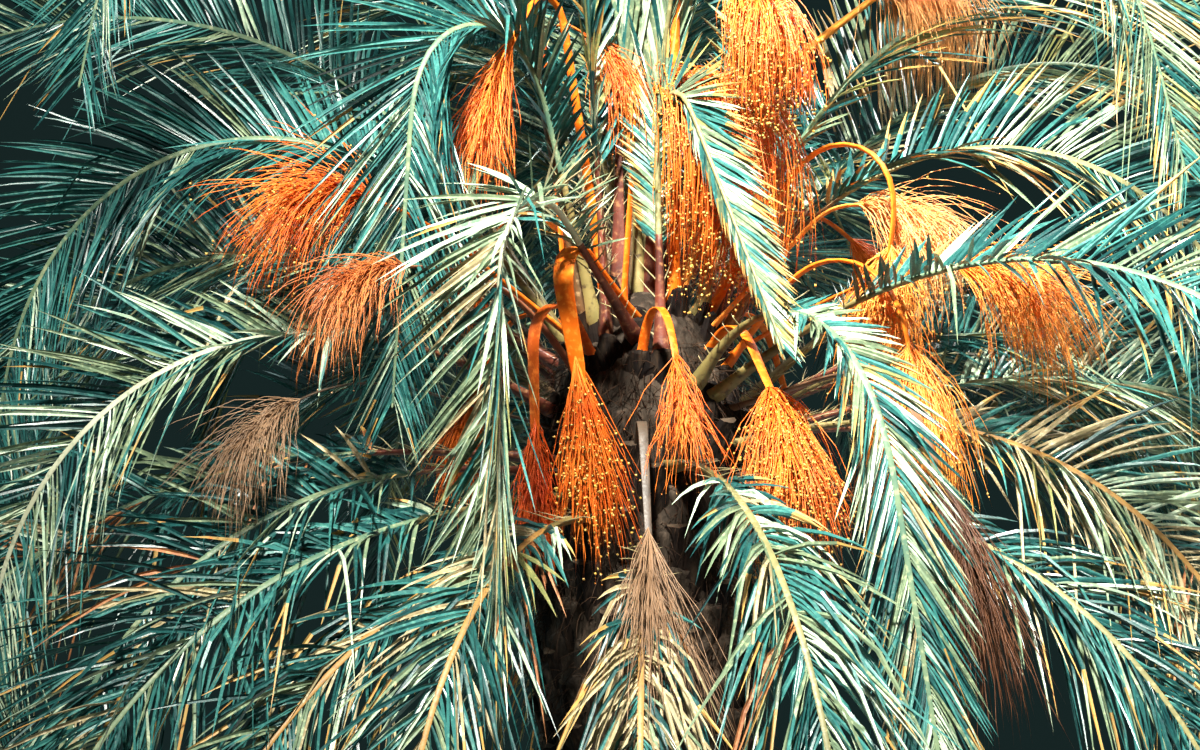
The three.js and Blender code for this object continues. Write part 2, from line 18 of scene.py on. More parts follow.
import bpy
import numpy as np
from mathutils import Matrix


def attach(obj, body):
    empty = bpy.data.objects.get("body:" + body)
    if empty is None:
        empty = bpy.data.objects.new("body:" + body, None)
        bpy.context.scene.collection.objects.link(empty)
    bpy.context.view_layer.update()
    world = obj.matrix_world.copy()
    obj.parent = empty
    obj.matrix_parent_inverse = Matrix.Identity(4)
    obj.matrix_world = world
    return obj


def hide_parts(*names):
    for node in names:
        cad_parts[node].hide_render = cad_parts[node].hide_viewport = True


STARTED = time.time()
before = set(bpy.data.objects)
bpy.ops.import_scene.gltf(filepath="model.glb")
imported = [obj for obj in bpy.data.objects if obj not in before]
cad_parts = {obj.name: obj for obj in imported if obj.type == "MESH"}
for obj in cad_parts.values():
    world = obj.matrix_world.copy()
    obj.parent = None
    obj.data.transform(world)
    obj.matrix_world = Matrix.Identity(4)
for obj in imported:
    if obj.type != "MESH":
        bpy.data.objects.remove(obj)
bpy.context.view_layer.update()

# %% [markdown]
# ## Camera
#
# The view looks slightly down into the heart of the crown from close by, so fronds leave the
# picture on all sides. The focal length is told in pixels of the picture, and the distance to
# the trunk's head in metres. The camera is moved aside and up until the head sits a little
# right of the middle and below it.

# %% Camera
IMAGE_WIDTH = 1200
IMAGE_HEIGHT = 750
FOCAL_PIXELS = 1815
SENSOR_WIDTH = 36.0
HEAD_HEIGHT = 2.45
VIEW_DISTANCE = 5.6
VIEW_DOWN = math.radians(4)
HEAD_PIXEL = (645, 425)

forward = np.array([0, math.cos(VIEW_DOWN), -math.sin(VIEW_DOWN)])
upward = np.array([0, math.sin(VIEW_DOWN), math.cos(VIEW_DOWN)])
metres_a_pixel = VIEW_DISTANCE / FOCAL_PIXELS
aside = (HEAD_PIXEL[0] - IMAGE_WIDTH / 2) * metres_a_pixel
below = (HEAD_PIXEL[1] - IMAGE_HEIGHT / 2) * metres_a_pixel
head = np.array([0, 0, HEAD_HEIGHT])
camera_data = bpy.data.cameras.new("camera")
camera_data.sensor_width = SENSOR_WIDTH
camera_data.lens = FOCAL_PIXELS / IMAGE_WIDTH * SENSOR_WIDTH
camera = bpy.data.objects.new("camera", camera_data)
bpy.context.scene.collection.objects.link(camera)
camera.location = head - forward * VIEW_DISTANCE - np.array([aside, 0, 0]) + upward * below
camera.rotation_euler = (math.pi / 2 - VIEW_DOWN, 0, 0)
bpy.context.scene.camera = camera
print("camera at", tuple(round(v, 3) for v in camera.location), "lens", round(camera_data.lens, 1))

# %% [markdown]
# ## Growth rule
#
# A frond is told by six numbers: the turn round the trunk, the rise at its foot and at its
# tip, its length, and where along it the bend starts and ends. Angles are in degrees, lengths
# in metres and places along a frond are shares of its length. A turn of 0 points to the
# viewer and +90 to the viewer's right. These are the same numbers as in the solid model, so
# the fine fronds lie exactly where the plain ones are.

# %% Small sums used everywhere
def smooth(t):
    """A step from 0 to 1 with soft ends."""
    c = np.clip(t, 0, 1)
    return c * c * (3 - 2 * c)


def mix(a, b, t):
    return a + (b - a) * t


def unit(v):
    return v / np.linalg.norm(v, axis=-1, keepdims=True)


def dot(a, b):
    return (a * b).sum(-1, keepdims=True)


def heading(turn, slope):
    """The direction of a turn round the trunk and a slope above level, both in degrees."""
    a, s = np.broadcast_arrays(np.radians(turn), np.radians(slope))
    return np.stack([np.cos(s) * np.sin(a), -np.cos(s) * np.cos(a), np.sin(s)], -1)


DRAW_FACTOR = 16807
DRAW_LIMIT = 2147483647


def drawer(seed):
    """Seeded draws between 0 and 1, by the same sum as the solid model's."""
    state = [seed]

    def draw():
        state[0] = state[0] * DRAW_FACTOR % DRAW_LIMIT
        return state[0] / DRAW_LIMIT
    return draw


# %% Centre lines of fronds and stalks
HEAD_RADIUS = 0.27
HEAD_RISE = 0.42
WIDEST_RISE = 25
FOOT_CLIMB = 0.95
LINE_STEPS = 40
FINE = 4


def foot_point(turn, rise):
    """A place on the head. A frond of the widest rise stands where the head is widest."""
    out = heading(turn, (rise - WIDEST_RISE) * FOOT_CLIMB)
    return np.array([0, 0, HEAD_HEIGHT]) + out * [HEAD_RADIUS, HEAD_RADIUS, HEAD_RISE]


def centre_line(grow, foot, steps=LINE_STEPS * FINE):
    """The line that a growth row draws from its foot, as points and headings between them."""
    turn, rise, fall, length, bend_from, bend_to = grow
    middle = (np.arange(steps) + 0.5) / steps
    slope = mix(rise, fall, smooth((middle - bend_from) / (bend_to - bend_from)))
    along = heading(turn, slope)
    at = foot + np.vstack([np.zeros(3), np.cumsum(along * length / steps, 0)])
    return SimpleNamespace(at=at, along=along, level=heading(turn + 90, 0), length=length)


def frames(line, shares, roll=0.0):
    """Points, headings, side directions and normals at shares of a line."""
    steps = len(line.along)
    place = np.clip(shares, 0, 1) * steps
    marks = np.arange(steps + 1)
    centres = marks[:-1] + 0.5
    point = np.stack([np.interp(place, marks, line.at[:, k]) for k in range(3)], -1)
    ahead = unit(np.stack([np.interp(place, centres, line.along[:, k]) for k in range(3)], -1))
    level = np.broadcast_to(line.level, point.shape)
    up = unit(np.cross(ahead, level))
    c = np.cos(np.radians(roll))[..., None]
    s = np.sin(np.radians(roll))[..., None]
    return point, ahead, level * c + up * s, up * c - level * s


# %% [markdown]
# ## Which fronds and bunches there are
#
# The front of the crown is told frond by frond, because each of those shows. Hooked fronds
# are two solids in the model, parted at the bend. A frond's own foot, as turn and rise on the
# head, is only given where it isn't the one that its direction leads to. A roll turns the
# frond's plane about its rib, in degrees. A spread under 1 lays the leaflets closer to the
# rib, and a reach under 1 makes them shorter.

# %% Fronds of the front
FRONDS = {
    "left_arch": (-88, 54, -88, 2.8, 0, 1),
    "front_hook": (-27, 37, -89, 2.2, 0.24, 0.52),
    "heart_hook": (31, 92, -56, 1.76, 0.37, 0.55),
    "high_hook": (-49, 73, -85, 2.25, 0.28, 0.66),
    "right_arch": (82, 65, -88, 2.7, -0.1, 1),
    "right_hook": (31, 44, -75, 2.5, 0, 0.52),
    "left_bow": (-70, 32, -98, 2.8, -0.05, 1),
    "left_low": (-63, 9, -82, 2.4, -0.05, 1.05),
    "left_lower": (-53, -2, -73, 2.5, 0.05, 1.05),
    "left_skirt": (-42, -9, -61, 2.2, 0, 1.05),
    "right_low": (68, 19, -82, 2.5, -0.1, 1),
    "right_level": (95, 17, -49, 2.8, 0, 1.1),
    "right_skirt": (58, 2, -77, 2.4, -0.05, 1.05),
    "front_left": (-25, 11, -84, 2.2, -0.05, 0.9),
    "front_low": (-2, -8, -85, 2.0, 0, 0.9),
    "front_right": (15, 13, -81, 2.35, -0.15, 0.95),
    "right_rise": (107, 68, -22, 2.75, 0, 1),
    "right_back": (116, 56, -39, 2.9, 0, 1.1),
    "left_back": (-105, 59, -23, 2.9, -0.05, 1.1),
    "left_high": (-72, 77, -78, 3.05, 0.26, 0.96),
    "right_high": (75, 81, -75, 3.0, 0.2, 0.9),
    "centre_upright": (165, 89, 10, 2.6, 0.4, 1),
    "centre_left_upright": (-107, 86, -14, 2.72, 0.3, 1),
}
FROND_FEET = {
    "front_hook": (-7, 68), "heart_hook": (10, 56), "centre_upright": (-61, 98),
    "centre_left_upright": (-29, 63), "front_low": (-2, -22), "front_left": (-25, -14),
    "left_arch": (-88, 62), "left_low": (-63, 6),
}
FROND_ROLLS = {
    "front_hook": 38, "heart_hook": -95, "centre_upright": 0, "centre_left_upright": 0,
    "right_hook": 40, "right_arch": 75, "left_arch": -75,
}
FROND_SPREADS = {
    "front_hook": 1.1, "heart_hook": 0.8, "centre_upright": 0.6, "centre_left_upright": 0.6,
    "high_hook": 0.8, "front_right": 0.7, "front_left": 0.7, "front_low": 0.7, "left_skirt": 0.7,
    "left_lower": 0.8, "right_skirt": 0.7, "right_hook": 0.62,
}
FROND_REACHES = {"heart_hook": 0.54, "right_hook": 0.7, "front_hook": 0.88}

# %% Flower bunches: the stalk's growth, and the length of its strands
BUNCHES = {
    "bunch_front": [((-30, 34, -108, 0.8, 0.42, 0.75), 0.5)],
    "bunch_front_left": [((-38, 54, -92, 0.68, 0.2, 0.72), 0.33)],
    "bunch_centre": [((16, 63, -59, 0.48, 0.13, 0.95), 0.3)],
    "bunch_right_front": [((19, 41, -41, 0.52, 0.03, 0.74), 0.42)],
    "bunch_tall": [((75, 86, 3, 0.76, 0.73, 1), 0.7)],
    "bunch_top_left": [((-42, 77, -57, 1.21, 0.7, 0.9), 0.38)],
    "bunch_top": [((76, 95, -42, 1.17, 0.8, 0.97), 0.3)],
    "bunch_top_right": [((36, 90, -18, 1.21, 0.7, 0.91), 0.42)],
    "bunch_high_right": [((108, 69, 36, 1.22, 0.28, 0.85), 0.48)],
    "bunch_yellow": [((82, 46, -1, 0.63, 0.7, 1), 0.42)],
    "bunch_right_arch": [((57, 56, -97, 1.16, 0.41, 0.95), 0.36)],
    "bunch_right_level": [((65, 29, 4, 0.81, 0.32, 1.03), 0.45)],
    "bunch_right_low": [((52, 50, -77, 0.93, 0.28, 1), 0.42)],
    "bunch_left_high": [((-64, 37, 19, 0.8, 0.55, 1.04), 0.43)],
    "bunch_left": [((-45, 46, 0, 0.82, 0.14, 1), 0.36)],
    "bunch_dry_front": [((3, 47, -53, 0.59, 0.2, 0.5), 0.6)],
    "bunch_dry_left": [((-52, 16, -33, 0.94, 0.49, 1.2), 0.34)],
    "bunch_dry_right": [((39, 16, -68, 1.02, 0.38, 0.95), 0.6)],
    "back_bunches_right": [
        ((132, 62, -30, 1.05, 0.2, 1), 0.42), ((146, 40, -60, 0.8, 0.1, 0.9), 0.42)],
    "back_bunches_left": [
        ((-150, 62, -30, 1.05, 0.2, 1), 0.42), ((-138, 40, -60, 0.8, 0.1, 0.9), 0.42)],
}
BUNCH_FEET = {
    "bunch_front": (-9, 79), "bunch_centre": (-5, 55), "bunch_right_front": (59, 60),
    "bunch_tall": (-29, 83), "bunch_top": (-72, 54), "bunch_yellow": (64, 71),
    "bunch_high_right": (93, 97), "bunch_right_arch": (94, 76), "bunch_right_level": (93, 56),
    "bunch_right_low": (68, 50), "bunch_left_high": (-57, 63), "bunch_dry_front": (-6, 14),
    "bunch_top_left": (-51, 85), "bunch_left": (-49, 47), "bunch_dry_right": (66, 34),
    "bunch_top_right": (42, 90), "bunch_dry_left": (-84, 24),
}

# %% [markdown]
# ## Grow the plan
#
# Fronds of the back and sides aren't told one by one. Their sites go round by golden steps, as
# on the real plant, and several fronds grow at a site. A frond only grows where its line stays
# clear of all lines before it, apart from those of its own site, which are one solid with it.
# Repeating that test here gives the same fronds as the solids.

# %% Plan of the front fronds and the bunches
STALK_STEPS = 24
BROOM_STEPS = 4
BROOM_LENGTH = 0.2
BROOM_SAG = 0.12
STALK_SPREAD = 0.12
SIDE_ROLL = 62


def side_roll(turn):
    return SIDE_ROLL * math.sin(math.radians(turn))


def stalk_line(grow, foot, fine=1):
    """A stalk's line, with a last stretch that sags and carries the strands."""
    line = centre_line(grow, foot, STALK_STEPS * fine)
    hang = line.along[-1]
    k = (np.arange(BROOM_STEPS * fine) + 1) / fine
    tail = unit(hang - k[:, None] * [0, 0, BROOM_SAG])
    line.at = np.vstack([line.at, line.at[-1] + np.cumsum(tail * BROOM_LENGTH / len(k), 0)])
    line.along = np.vstack([line.along, tail])
    line.length += BROOM_LENGTH
    return line


def bunch_feet(name, stalks):
    feet = [foot_point(*BUNCH_FEET.get(name, grow[:2])) for grow, _ in stalks]
    middle = np.mean(feet, 0)
    return [mix(middle, foot, STALK_SPREAD if len(feet) > 1 else 1) for foot in feet]


fronds = []
bunches = []
for name, grow in FRONDS.items():
    foot = foot_point(*FROND_FEET.get(name, grow[:2]))
    nodes = [node for node in (name, name + "_foot", name + "_tip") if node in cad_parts]
    fronds.append(SimpleNamespace(
        name=name, nodes=nodes, grow=grow, foot=foot, spread=FROND_SPREADS.get(name, 1),
        reach=FROND_REACHES.get(name, 1),
        roll=FROND_ROLLS.get(name, side_roll(grow[0]))))
for name, stalks in BUNCHES.items():
    for (grow, strand), foot in zip(stalks, bunch_feet(name, stalks)):
        bunches.append(SimpleNamespace(
            name=name, nodes=[name], grow=grow, foot=foot, strand=strand))
print(len(fronds), "fronds and", len(bunches), "bunches told one by one")

# %% Plan of the fronds of the back and the sides
SITES = 9
SITE_TURNS = (0, 18, -16, 5, -24, 30, -33, 11, -8)
SITE_RISES = (0, -8, 9, -20, -13, 12, 3, 18, -30)
SITE_JITTER = 4
SITE_NARROWING = 0.4
YOUNGEST_RISE = 80
OLDEST_RISE = 2
BACK_START = 30
BACK_SPAN = 300
BACK_LENGTH = 2.45
BACK_LENGTH_SPREAD = 0.5
BACK_ROLL_SPREAD = 50
BACK_BEND = (0, 1.05)
UPRIGHT_RISE = 60
UPRIGHT_FALLS = (-35, -70)
LOWER_FALLS = (-62, -86)
GOLDEN = 0.618034
GOLDEN_START = 0.56
FROND_SPACE = 0.085
FOOT_STEPS = 3
FOOT_SPREAD = 0.2
PLAN_SEED = 11


def line_gap(a, b):
    """The least distance between two lines, past the feet that they may share."""
    apart = a.at[FOOT_STEPS:, None] - b.at[None, FOOT_STEPS:]
    return np.sqrt((apart ** 2).sum(-1)).min()


def back_fronds(site, draw, taken):
    """Fronds of one site, each only where it keeps its space from lines outside that site."""
    age = (site + 0.5) / SITES
    name = f"back_fronds_{site + 1:02d}"
    site_turn = BACK_START + BACK_SPAN * ((site * GOLDEN + GOLDEN_START) % 1)
    site_rise = mix(YOUNGEST_RISE, OLDEST_RISE, age)
    narrowing = 1 - SITE_NARROWING * age
    for turn_step, rise_step in zip(SITE_TURNS, SITE_RISES):
        turn = site_turn + turn_step * narrowing + (draw() - 0.5) * SITE_JITTER
        rise = site_rise + rise_step * narrowing + (draw() - 0.5) * SITE_JITTER
        length = BACK_LENGTH + BACK_LENGTH_SPREAD * draw()
        droop = draw()
        roll = side_roll(turn) + BACK_ROLL_SPREAD * (draw() - 0.5)
        fall = mix(*(UPRIGHT_FALLS if rise > UPRIGHT_RISE else LOWER_FALLS), droop)
        grow = (turn, rise, fall, length, *BACK_BEND)
        foot = mix(foot_point(site_turn, site_rise), foot_point(turn, rise), FOOT_SPREAD)
        line = centre_line(grow, foot, LINE_STEPS)
        if all(other == name or line_gap(line, path) > FROND_SPACE for other, path in taken):
            taken.append((name, line))
            fronds.append(SimpleNamespace(
                name=name, nodes=[name], grow=grow, foot=foot, spread=1, reach=1, roll=roll))


taken = [(f.name, centre_line(f.grow, f.foot, LINE_STEPS)) for f in fronds]
taken += [(b.name, stalk_line(b.grow, b.foot)) for b in bunches]
draw = drawer(PLAN_SEED)
for site in range(SITES):
    back_fronds(site, draw, taken)
print(len(fronds), "fronds with those of the back")

# %% Spears of young fronds, and a fine line for all
SPEARS = 5
SPEAR_START = 100
SPEAR_RISE = 86
SPEAR_FALL = 62
SPEAR_LENGTH = 1.9
SPEAR_SHORTER = 0.06
SPEAR_BEND = (0.1, 1)
SPEAR_SPREAD = 0.35
SPEAR_RING = 0.022
SPEAR_TOP = HEAD_HEIGHT + HEAD_RISE - 0.004

for k in range(SPEARS):
    turn = SPEAR_START + 360 * k / SPEARS
    length = SPEAR_LENGTH * (1 - SPEAR_SHORTER * k)
    fronds.append(SimpleNamespace(
        name="young_fronds", nodes=["young_fronds"], spread=SPEAR_SPREAD, reach=1, roll=0,
        grow=(turn, SPEAR_RISE, SPEAR_FALL, length, *SPEAR_BEND),
        foot=heading(turn, 0) * SPEAR_RING + [0, 0, SPEAR_TOP]))
for frond in fronds:
    frond.line = centre_line(frond.grow, frond.foot)
for bunch in bunches:
    bunch.line = stalk_line(bunch.grow, bunch.foot, FINE)
print(len(fronds), "fronds in all")

# %% [markdown]
# ## Joined pieces
#
# Every small shape is a net of faces over a few points. A piece is many such nets joined. The
# helper below takes the points of all copies at once and shifts the net's numbers for each
# copy. The mesh is made once, at the end, straight from the arrays.

# %% Gather nets into joined pieces
gathered = defaultdict(list)


def gather(piece, points, *nets):
    """Adds copies of nets, each (faces, 3 or 4), on points of shape (copies, points, 3)."""
    if len(points):
        gathered[piece].append((np.asarray(points, np.float32), nets))


def grid_net(rows, columns, closed):
    """Quads over rows of points. A closed net joins the last column to the first."""
    net = []
    for r in range(rows - 1):
        for c in range(columns if closed else columns - 1):
            d = (c + 1) % columns
            net.append((r * columns + c, r * columns + d,
                        (r + 1) * columns + d, (r + 1) * columns + c))
    return np.array(net)


def tube_nets(rings, sides):
    """A tube that runs out in one last point."""
    last = (rings - 1) * sides
    tip = [(last + c, last + (c + 1) % sides, rings * sides) for c in range(sides)]
    return grid_net(rings, sides, True), np.array(tip)


def make_mesh(name, parts, shade_smooth):
    """One mesh from gathered nets, filled in array by array."""
    mesh = bpy.data.meshes.new(name)
    points, corners, sizes = [], [], []
    start = 0
    for at, nets in parts:
        copies, count = at.shape[:2]
        shift = start + np.arange(copies) * count
        for net in nets:
            corners.append((net[None] + shift[:, None, None]).ravel())
            sizes.append(np.full(copies * len(net), net.shape[1]))
        points.append(at.reshape(-1, 3))
        start += copies * count
    points, corners, sizes = map(np.concatenate, (points, corners, sizes))
    mesh.vertices.add(len(points))
    mesh.vertices.foreach_set("co", points.ravel())
    mesh.loops.add(len(corners))
    mesh.loops.foreach_set("vertex_index", corners.astype(np.int32))
    mesh.polygons.add(len(sizes))
    starts = np.concatenate([[0], np.cumsum(sizes)[:-1]])
    mesh.polygons.foreach_set("loop_start", starts.astype(np.int32))
    mesh.polygons.foreach_set("use_smooth", np.full(len(sizes), shade_smooth))
    mesh.update(calc_edges=True)
    mesh.validate()
    return mesh


# %% [markdown]
# ## Ribs and petioles
#
# The rib of a date palm frond is flat above and keeled below. It starts as a broad petiole that
# clasps the trunk and thins to a whip at the tip. A section of seven corners is swept along the
# frond's line. The bare petiole is a piece of its own, because it is browner than the rib.
# The rib starts a little narrower, inside the petiole's end, so that no gap can show.

# %% Sweep the ribs
PETIOLE_SHARE = 0.2
PETIOLE_STATIONS = np.concatenate([np.linspace(0, 0.08, 6), np.linspace(0.105, 0.215, 5)])
RIB_STATIONS = np.concatenate([np.linspace(0.2, 0.97, 34), [0.99]])
RIB_IN_PETIOLE = 0.97
PETIOLE_WIDTH = 0.048
RIB_WIDTH = 0.023
RIB_TIP_WIDTH = 0.007
ROOT_DEPTH = 0.06
ROOT_INWARD = 0.6
SHEATH_SHARE = 0.07
SHEATH_WIDER = 0.6
ROLL_FROM = 0.1
ROLL_OVER = 0.5
RIB_SECTION = np.array([
    (-0.5, 0), (-0.42, 0.07), (0.42, 0.07), (0.5, 0), (0.36, -0.32), (0, -0.6), (-0.36, -0.32)])
RIB_TONES = {
    "left_bow": "cream", "front_hook": "cream", "heart_hook": "olive", "front_left": "amber",
    "left_arch": "green", "high_hook": "green", "left_back": "green",
    "right_low": "amber", "right_arch": "olive", "left_skirt": "amber", "front_low": "amber",
}
PETIOLE_TONES = ("olive", "maroon", "maroon", "olive", "umber")


def roll_at(frond, share):
    return frond.roll * smooth((share - ROLL_FROM) / ROLL_OVER)


def rib_width(share):
    """The width narrows quickly along the petiole and slowly along the rib."""
    petiole = mix(PETIOLE_WIDTH, RIB_WIDTH, smooth(share / PETIOLE_SHARE))
    rib = mix(RIB_WIDTH, RIB_TIP_WIDTH, (share - PETIOLE_SHARE) / (1 - PETIOLE_SHARE))
    return np.where(share < PETIOLE_SHARE, petiole, rib)


def sheath(share):
    """How much wider the petiole is where it clasps the trunk."""
    return 1 + SHEATH_WIDER * np.clip(1 - share / SHEATH_SHARE, 0, 1) ** 2


def sweep(piece, line, shares, roll, width, deep=1.0, pulled_in=0.0):
    """A bar of the rib's section along a line, from a hidden open root to a point."""
    point, ahead, side, normal = frames(line, shares, roll)
    if pulled_in:
        point[0] = (point[0] - ahead[0] * pulled_in) * [ROOT_INWARD, ROOT_INWARD, 1]
    across = RIB_SECTION[:, 0][None, :, None] * side[:, None]
    through = RIB_SECTION[:, 1][None, :, None] * normal[:, None] * deep
    rings = point[:, None] + (across + through) * width[:, None, None]
    tip = point[-1] + ahead[-1] * width[-1]
    points = np.vstack([rings.reshape(-1, 3), tip])[None]
    gather(piece, points, *tube_nets(len(shares), len(RIB_SECTION)))


def sweep_frond(frond, number):
    shares = PETIOLE_STATIONS
    tone = PETIOLE_TONES[number % len(PETIOLE_TONES)]
    sweep(f"petioles_{tone}", frond.line, shares, roll_at(frond, shares),
          rib_width(shares) * sheath(shares), pulled_in=ROOT_DEPTH)
    shares = RIB_STATIONS
    tone = RIB_TONES.get(frond.name, "green" if number % 3 else "olive")
    sweep(f"ribs_{tone}", frond.line, shares, roll_at(frond, shares),
          rib_width(shares) * RIB_IN_PETIOLE)


for number, frond in enumerate(fronds):
    sweep_frond(frond, number)
print("ribs swept for", len(fronds), "fronds")

# %% [markdown]
# ## Leaflets
#
# A leaflet is a long narrow blade, folded into a V along its middle and drawn out to a sharp
# point. It leaves the rib at a slant that gets narrower towards the frond's tip, stands up a
# little from the frond's plane and bends under its own weight. Some are broken and hang.
# Those on the inside of a hook are crowded, and may be shorter than those outside.
# All leaflets are worked out at once as arrays: six stations each, with three points across.

# %% Where the leaflets stand
LEAFLET_LENGTH = 0.43
LEAFLET_WIDTH = 0.0195
LEAFLET_STEP = 0.0168
LEAFLET_LIFT = 22
LEAFLET_SAG = 0.06
LEAFLET_PLANES = (-12, 2, 14)
PLANES_CLOSE_BY = 0.6
SHORTEST_LEAFLET = 0.4
FULL_FROM = 0.3
SHRINK_FROM = 0.55
SHRINK_OVER = 0.45
NARROWEST_LEAFLET = 0.6
BLADE_END = 0.985
OPEN_AT_FOOT = 62
OPEN_AT_TIP = 30
EDGE_SHARE = 0.42
TILT = (24, 18)
TWIST = (10, 28)
LENGTH_RANGE = (0.86, 1.06)
WIDTH_RANGE = (0.85, 1.1)
SAG_RANGE = (0.2, 1)
BREAK_RANGE = (0.5, 1.6)
PLACE_RANGE = (0.1, 0.9)
SAG_OF_LOOK = 0.5
CLOSING_CURVE = 1.6
DETAIL_SEED = 5
rng = np.random.default_rng(DETAIL_SEED)


def leaflet_length(u):
    """Short by the petiole, full along the middle, and shorter again towards the tip."""
    opening = mix(SHORTEST_LEAFLET, 1, smooth(u / FULL_FROM))
    closed = np.clip((u - SHRINK_FROM) / SHRINK_OVER, 0, 1) ** CLOSING_CURVE
    closing = mix(1, SHORTEST_LEAFLET, closed)
    return LEAFLET_LENGTH * opening * closing


def stand_leaflets(frond):
    """Root, heading, width direction and size of each leaflet of a frond."""
    blade = frond.line.length * (1 - PETIOLE_SHARE)
    count = int(blade / LEAFLET_STEP * frond.look.dense)
    u = (np.tile(np.arange(count), 2) + rng.uniform(*PLACE_RANGE, 2 * count)) / count
    hand = np.repeat([1.0, -1.0], count)
    share = mix(PETIOLE_SHARE, BLADE_END, u)
    point, ahead, side, normal = frames(frond.line, share, roll_at(frond, share))
    planes = rng.choice(LEAFLET_PLANES, 2 * count) * (1 - PLANES_CLOSE_BY * u)
    lift = np.radians(LEAFLET_LIFT + planes + rng.normal(0, 1 + frond.look.loose, 2 * count))
    slant = np.radians(mix(OPEN_AT_FOOT, OPEN_AT_TIP, u) * frond.spread)
    slant = slant + np.radians(rng.normal(0, frond.look.loose, 2 * count)) * frond.spread
    out = (np.cos(slant)[:, None] * ahead
           + (hand * np.sin(slant) * np.cos(lift))[:, None] * side
           + (np.sin(slant) * np.sin(lift))[:, None] * normal)
    root = point + side * (hand * rib_width(share) * EDGE_SHARE)[:, None]
    tilt = np.radians(hand * TILT[0] + rng.normal(0, TILT[1], 2 * count))[:, None]
    wide = unit(ahead - dot(ahead, out) * out)
    wide = wide * np.cos(tilt) + np.cross(out, wide) * np.sin(tilt)
    length = leaflet_length(u) * frond.reach * rng.uniform(*LENGTH_RANGE, 2 * count)
    length = length * np.where(hand > 0, frond.look.inner, 1)
    broken = (rng.random(2 * count) < frond.look.broken) * rng.uniform(*BREAK_RANGE, 2 * count)
    return SimpleNamespace(
        root=root, out=out, wide=wide, length=length, u=u, broken=broken,
        width=LEAFLET_WIDTH * mix(1, NARROWEST_LEAFLET, u) * rng.uniform(*WIDTH_RANGE, 2 * count),
        sag=LEAFLET_SAG + SAG_OF_LOOK * frond.look.sag * rng.uniform(*SAG_RANGE, 2 * count),
        twist=np.radians(rng.normal(*TWIST, 2 * count)))


# %% [markdown]
# ## Tints of the leaflets
#
# Deep blue-green leaflets are painted shade, and pale mint ones are painted sunlight on the wax.
# Old fronds have yellow, straw and rust leaflets and dry tips. Each spray of a few leaflets gets
# one plain tint. How many sprays of each tint a frond has is told by a short row of weights,
# in the order of the tints, so the weights also set a frond's painted shade and sunlight. A look
# also tells the share of leaflets with dry tips, how far they sag, the share of broken ones, how
# loosely and how densely they stand, and the length of the inner ones as a share of the outer
# ones'.

# %% Deal out the tints
# The deep tint is painted shade and the mint tint is painted sunlight on the wax.
TINTS = ("deep", "teal", "sage", "mint", "gold", "straw", "rust")
SPRAY = 3
OLD_RISE = 12


def look(weights, dry_tips=0.05, sag=0.12, broken=0.03, loose=4, dense=1.0, inner=1.0):
    share = np.array(weights, float)
    return SimpleNamespace(weights=share / share.sum(), dry_tips=dry_tips, sag=sag,
                           broken=broken, loose=loose, dense=dense, inner=inner)


# Low and shaded fronds get more of the deep tint, which is painted shade, and sunlit fronds more
# mint, which is painted sunlight.
PLAIN_LOOK = look((5, 4, 2, 0.8, 0.4, 0.2, 0))
OLD_LOOK = look((8, 3, 1.5, 0.3, 0.4, 1.8, 0.8), 0.15, 0.8, 0.3, 14)
YOUNG_LOOK = look((1, 4, 3, 1.5, 0, 0, 0), 0, 0.02, 0)
LOOKS = {
    "left_arch": look((5, 8, 0.6, 0.4, 0, 0, 0), 0.04, 0.3, dense=1.5),
    "high_hook": look((4, 7, 0.6, 1.2, 0, 0, 0), 0.03, 0.16, dense=1.2),
    "left_high": look((4, 6, 0.6, 1, 0.2, 0, 0), dense=1.1),
    "left_back": look((5, 6, 0.6, 0.5, 0, 0, 0), dense=1.1),
    "front_hook": look((1, 2, 4, 5, 0.3, 0.8, 0), 0.08, 0.2, 0.05, 6, 1.15),
    "right_hook": look((2, 3, 4, 4, 0.3, 0.8, 0), 0.1, 0.12, 0.04, 6, 1.35),
    "left_bow": look((3, 4, 3, 4, 0.2, 0.1, 0), 0.03, 0.16, 0.05, 5, 1.1),
    "left_low": look((7, 4, 2, 1, 0.2, 0.8, 0.2), 0.1, 0.45, 0.2, 10),
    "left_lower": look((9, 4, 1.5, 0.3, 0.4, 1.3, 0.8), 0.15, 0.8, 0.32, 14, 1.1),
    "left_skirt": look((8, 3, 1.2, 0.3, 0.3, 2.2, 1.2), 0.2, 1.0, 0.45, 17, 1.2),
    "front_low": look((3, 2, 2, 0.3, 0.3, 5, 0.8), 0.25, 1.0, 0.5, 18, 1.2),
    "front_left": look((6, 3.5, 5, 1.2, 0.6, 1.2, 0.3), 0.1, 0.75, 0.28, 13, 1.25),
    "front_right": look((5, 3, 5, 1.6, 0.5, 1.4, 0.3), 0.15, 0.8, 0.38, 16, 1.25),
    "heart_hook": look((0, 4, 6, 5, 0.2, 0, 0), 0.5, 0.05, 0, 4, 2.6, 0.5),
    "right_arch": look((6, 5, 2, 0.6, 0.6, 0.8, 0), 0.45, 0.22, dense=1.35),
    "right_rise": look((2, 3, 4, 1.5, 1, 1.5, 0), 0.4),
    "right_back": look((2, 3, 4, 1.5, 1, 1.5, 0), 0.4),
    "right_high": look((2, 3, 4, 2, 0.6, 1, 0), 0.3),
    "right_level": look((1, 2, 4, 4, 0.6, 2.5, 0.1), 0.25, 0.2, 0.06, 7, 1.1),
    "right_low": look((2, 2, 3.5, 2, 1, 4, 0.5), 0.25, 0.4, 0.12, 8, 1.15),
    "right_skirt": look((7, 3, 2.5, 0.6, 0.6, 1.6, 0.6), 0.2, 0.7, 0.28, 13, 1.1),
    "centre_upright": look((3, 4, 3, 1, 0.6, 0, 0), 0.3, 0.05),
    "centre_left_upright": look((3, 4, 3, 1, 0.6, 0, 0), 0.2, 0.05),
    "young_fronds": YOUNG_LOOK,
}


def look_of(frond):
    fallback = OLD_LOOK if frond.grow[1] < OLD_RISE else PLAIN_LOOK
    return LOOKS.get(frond.name, fallback)


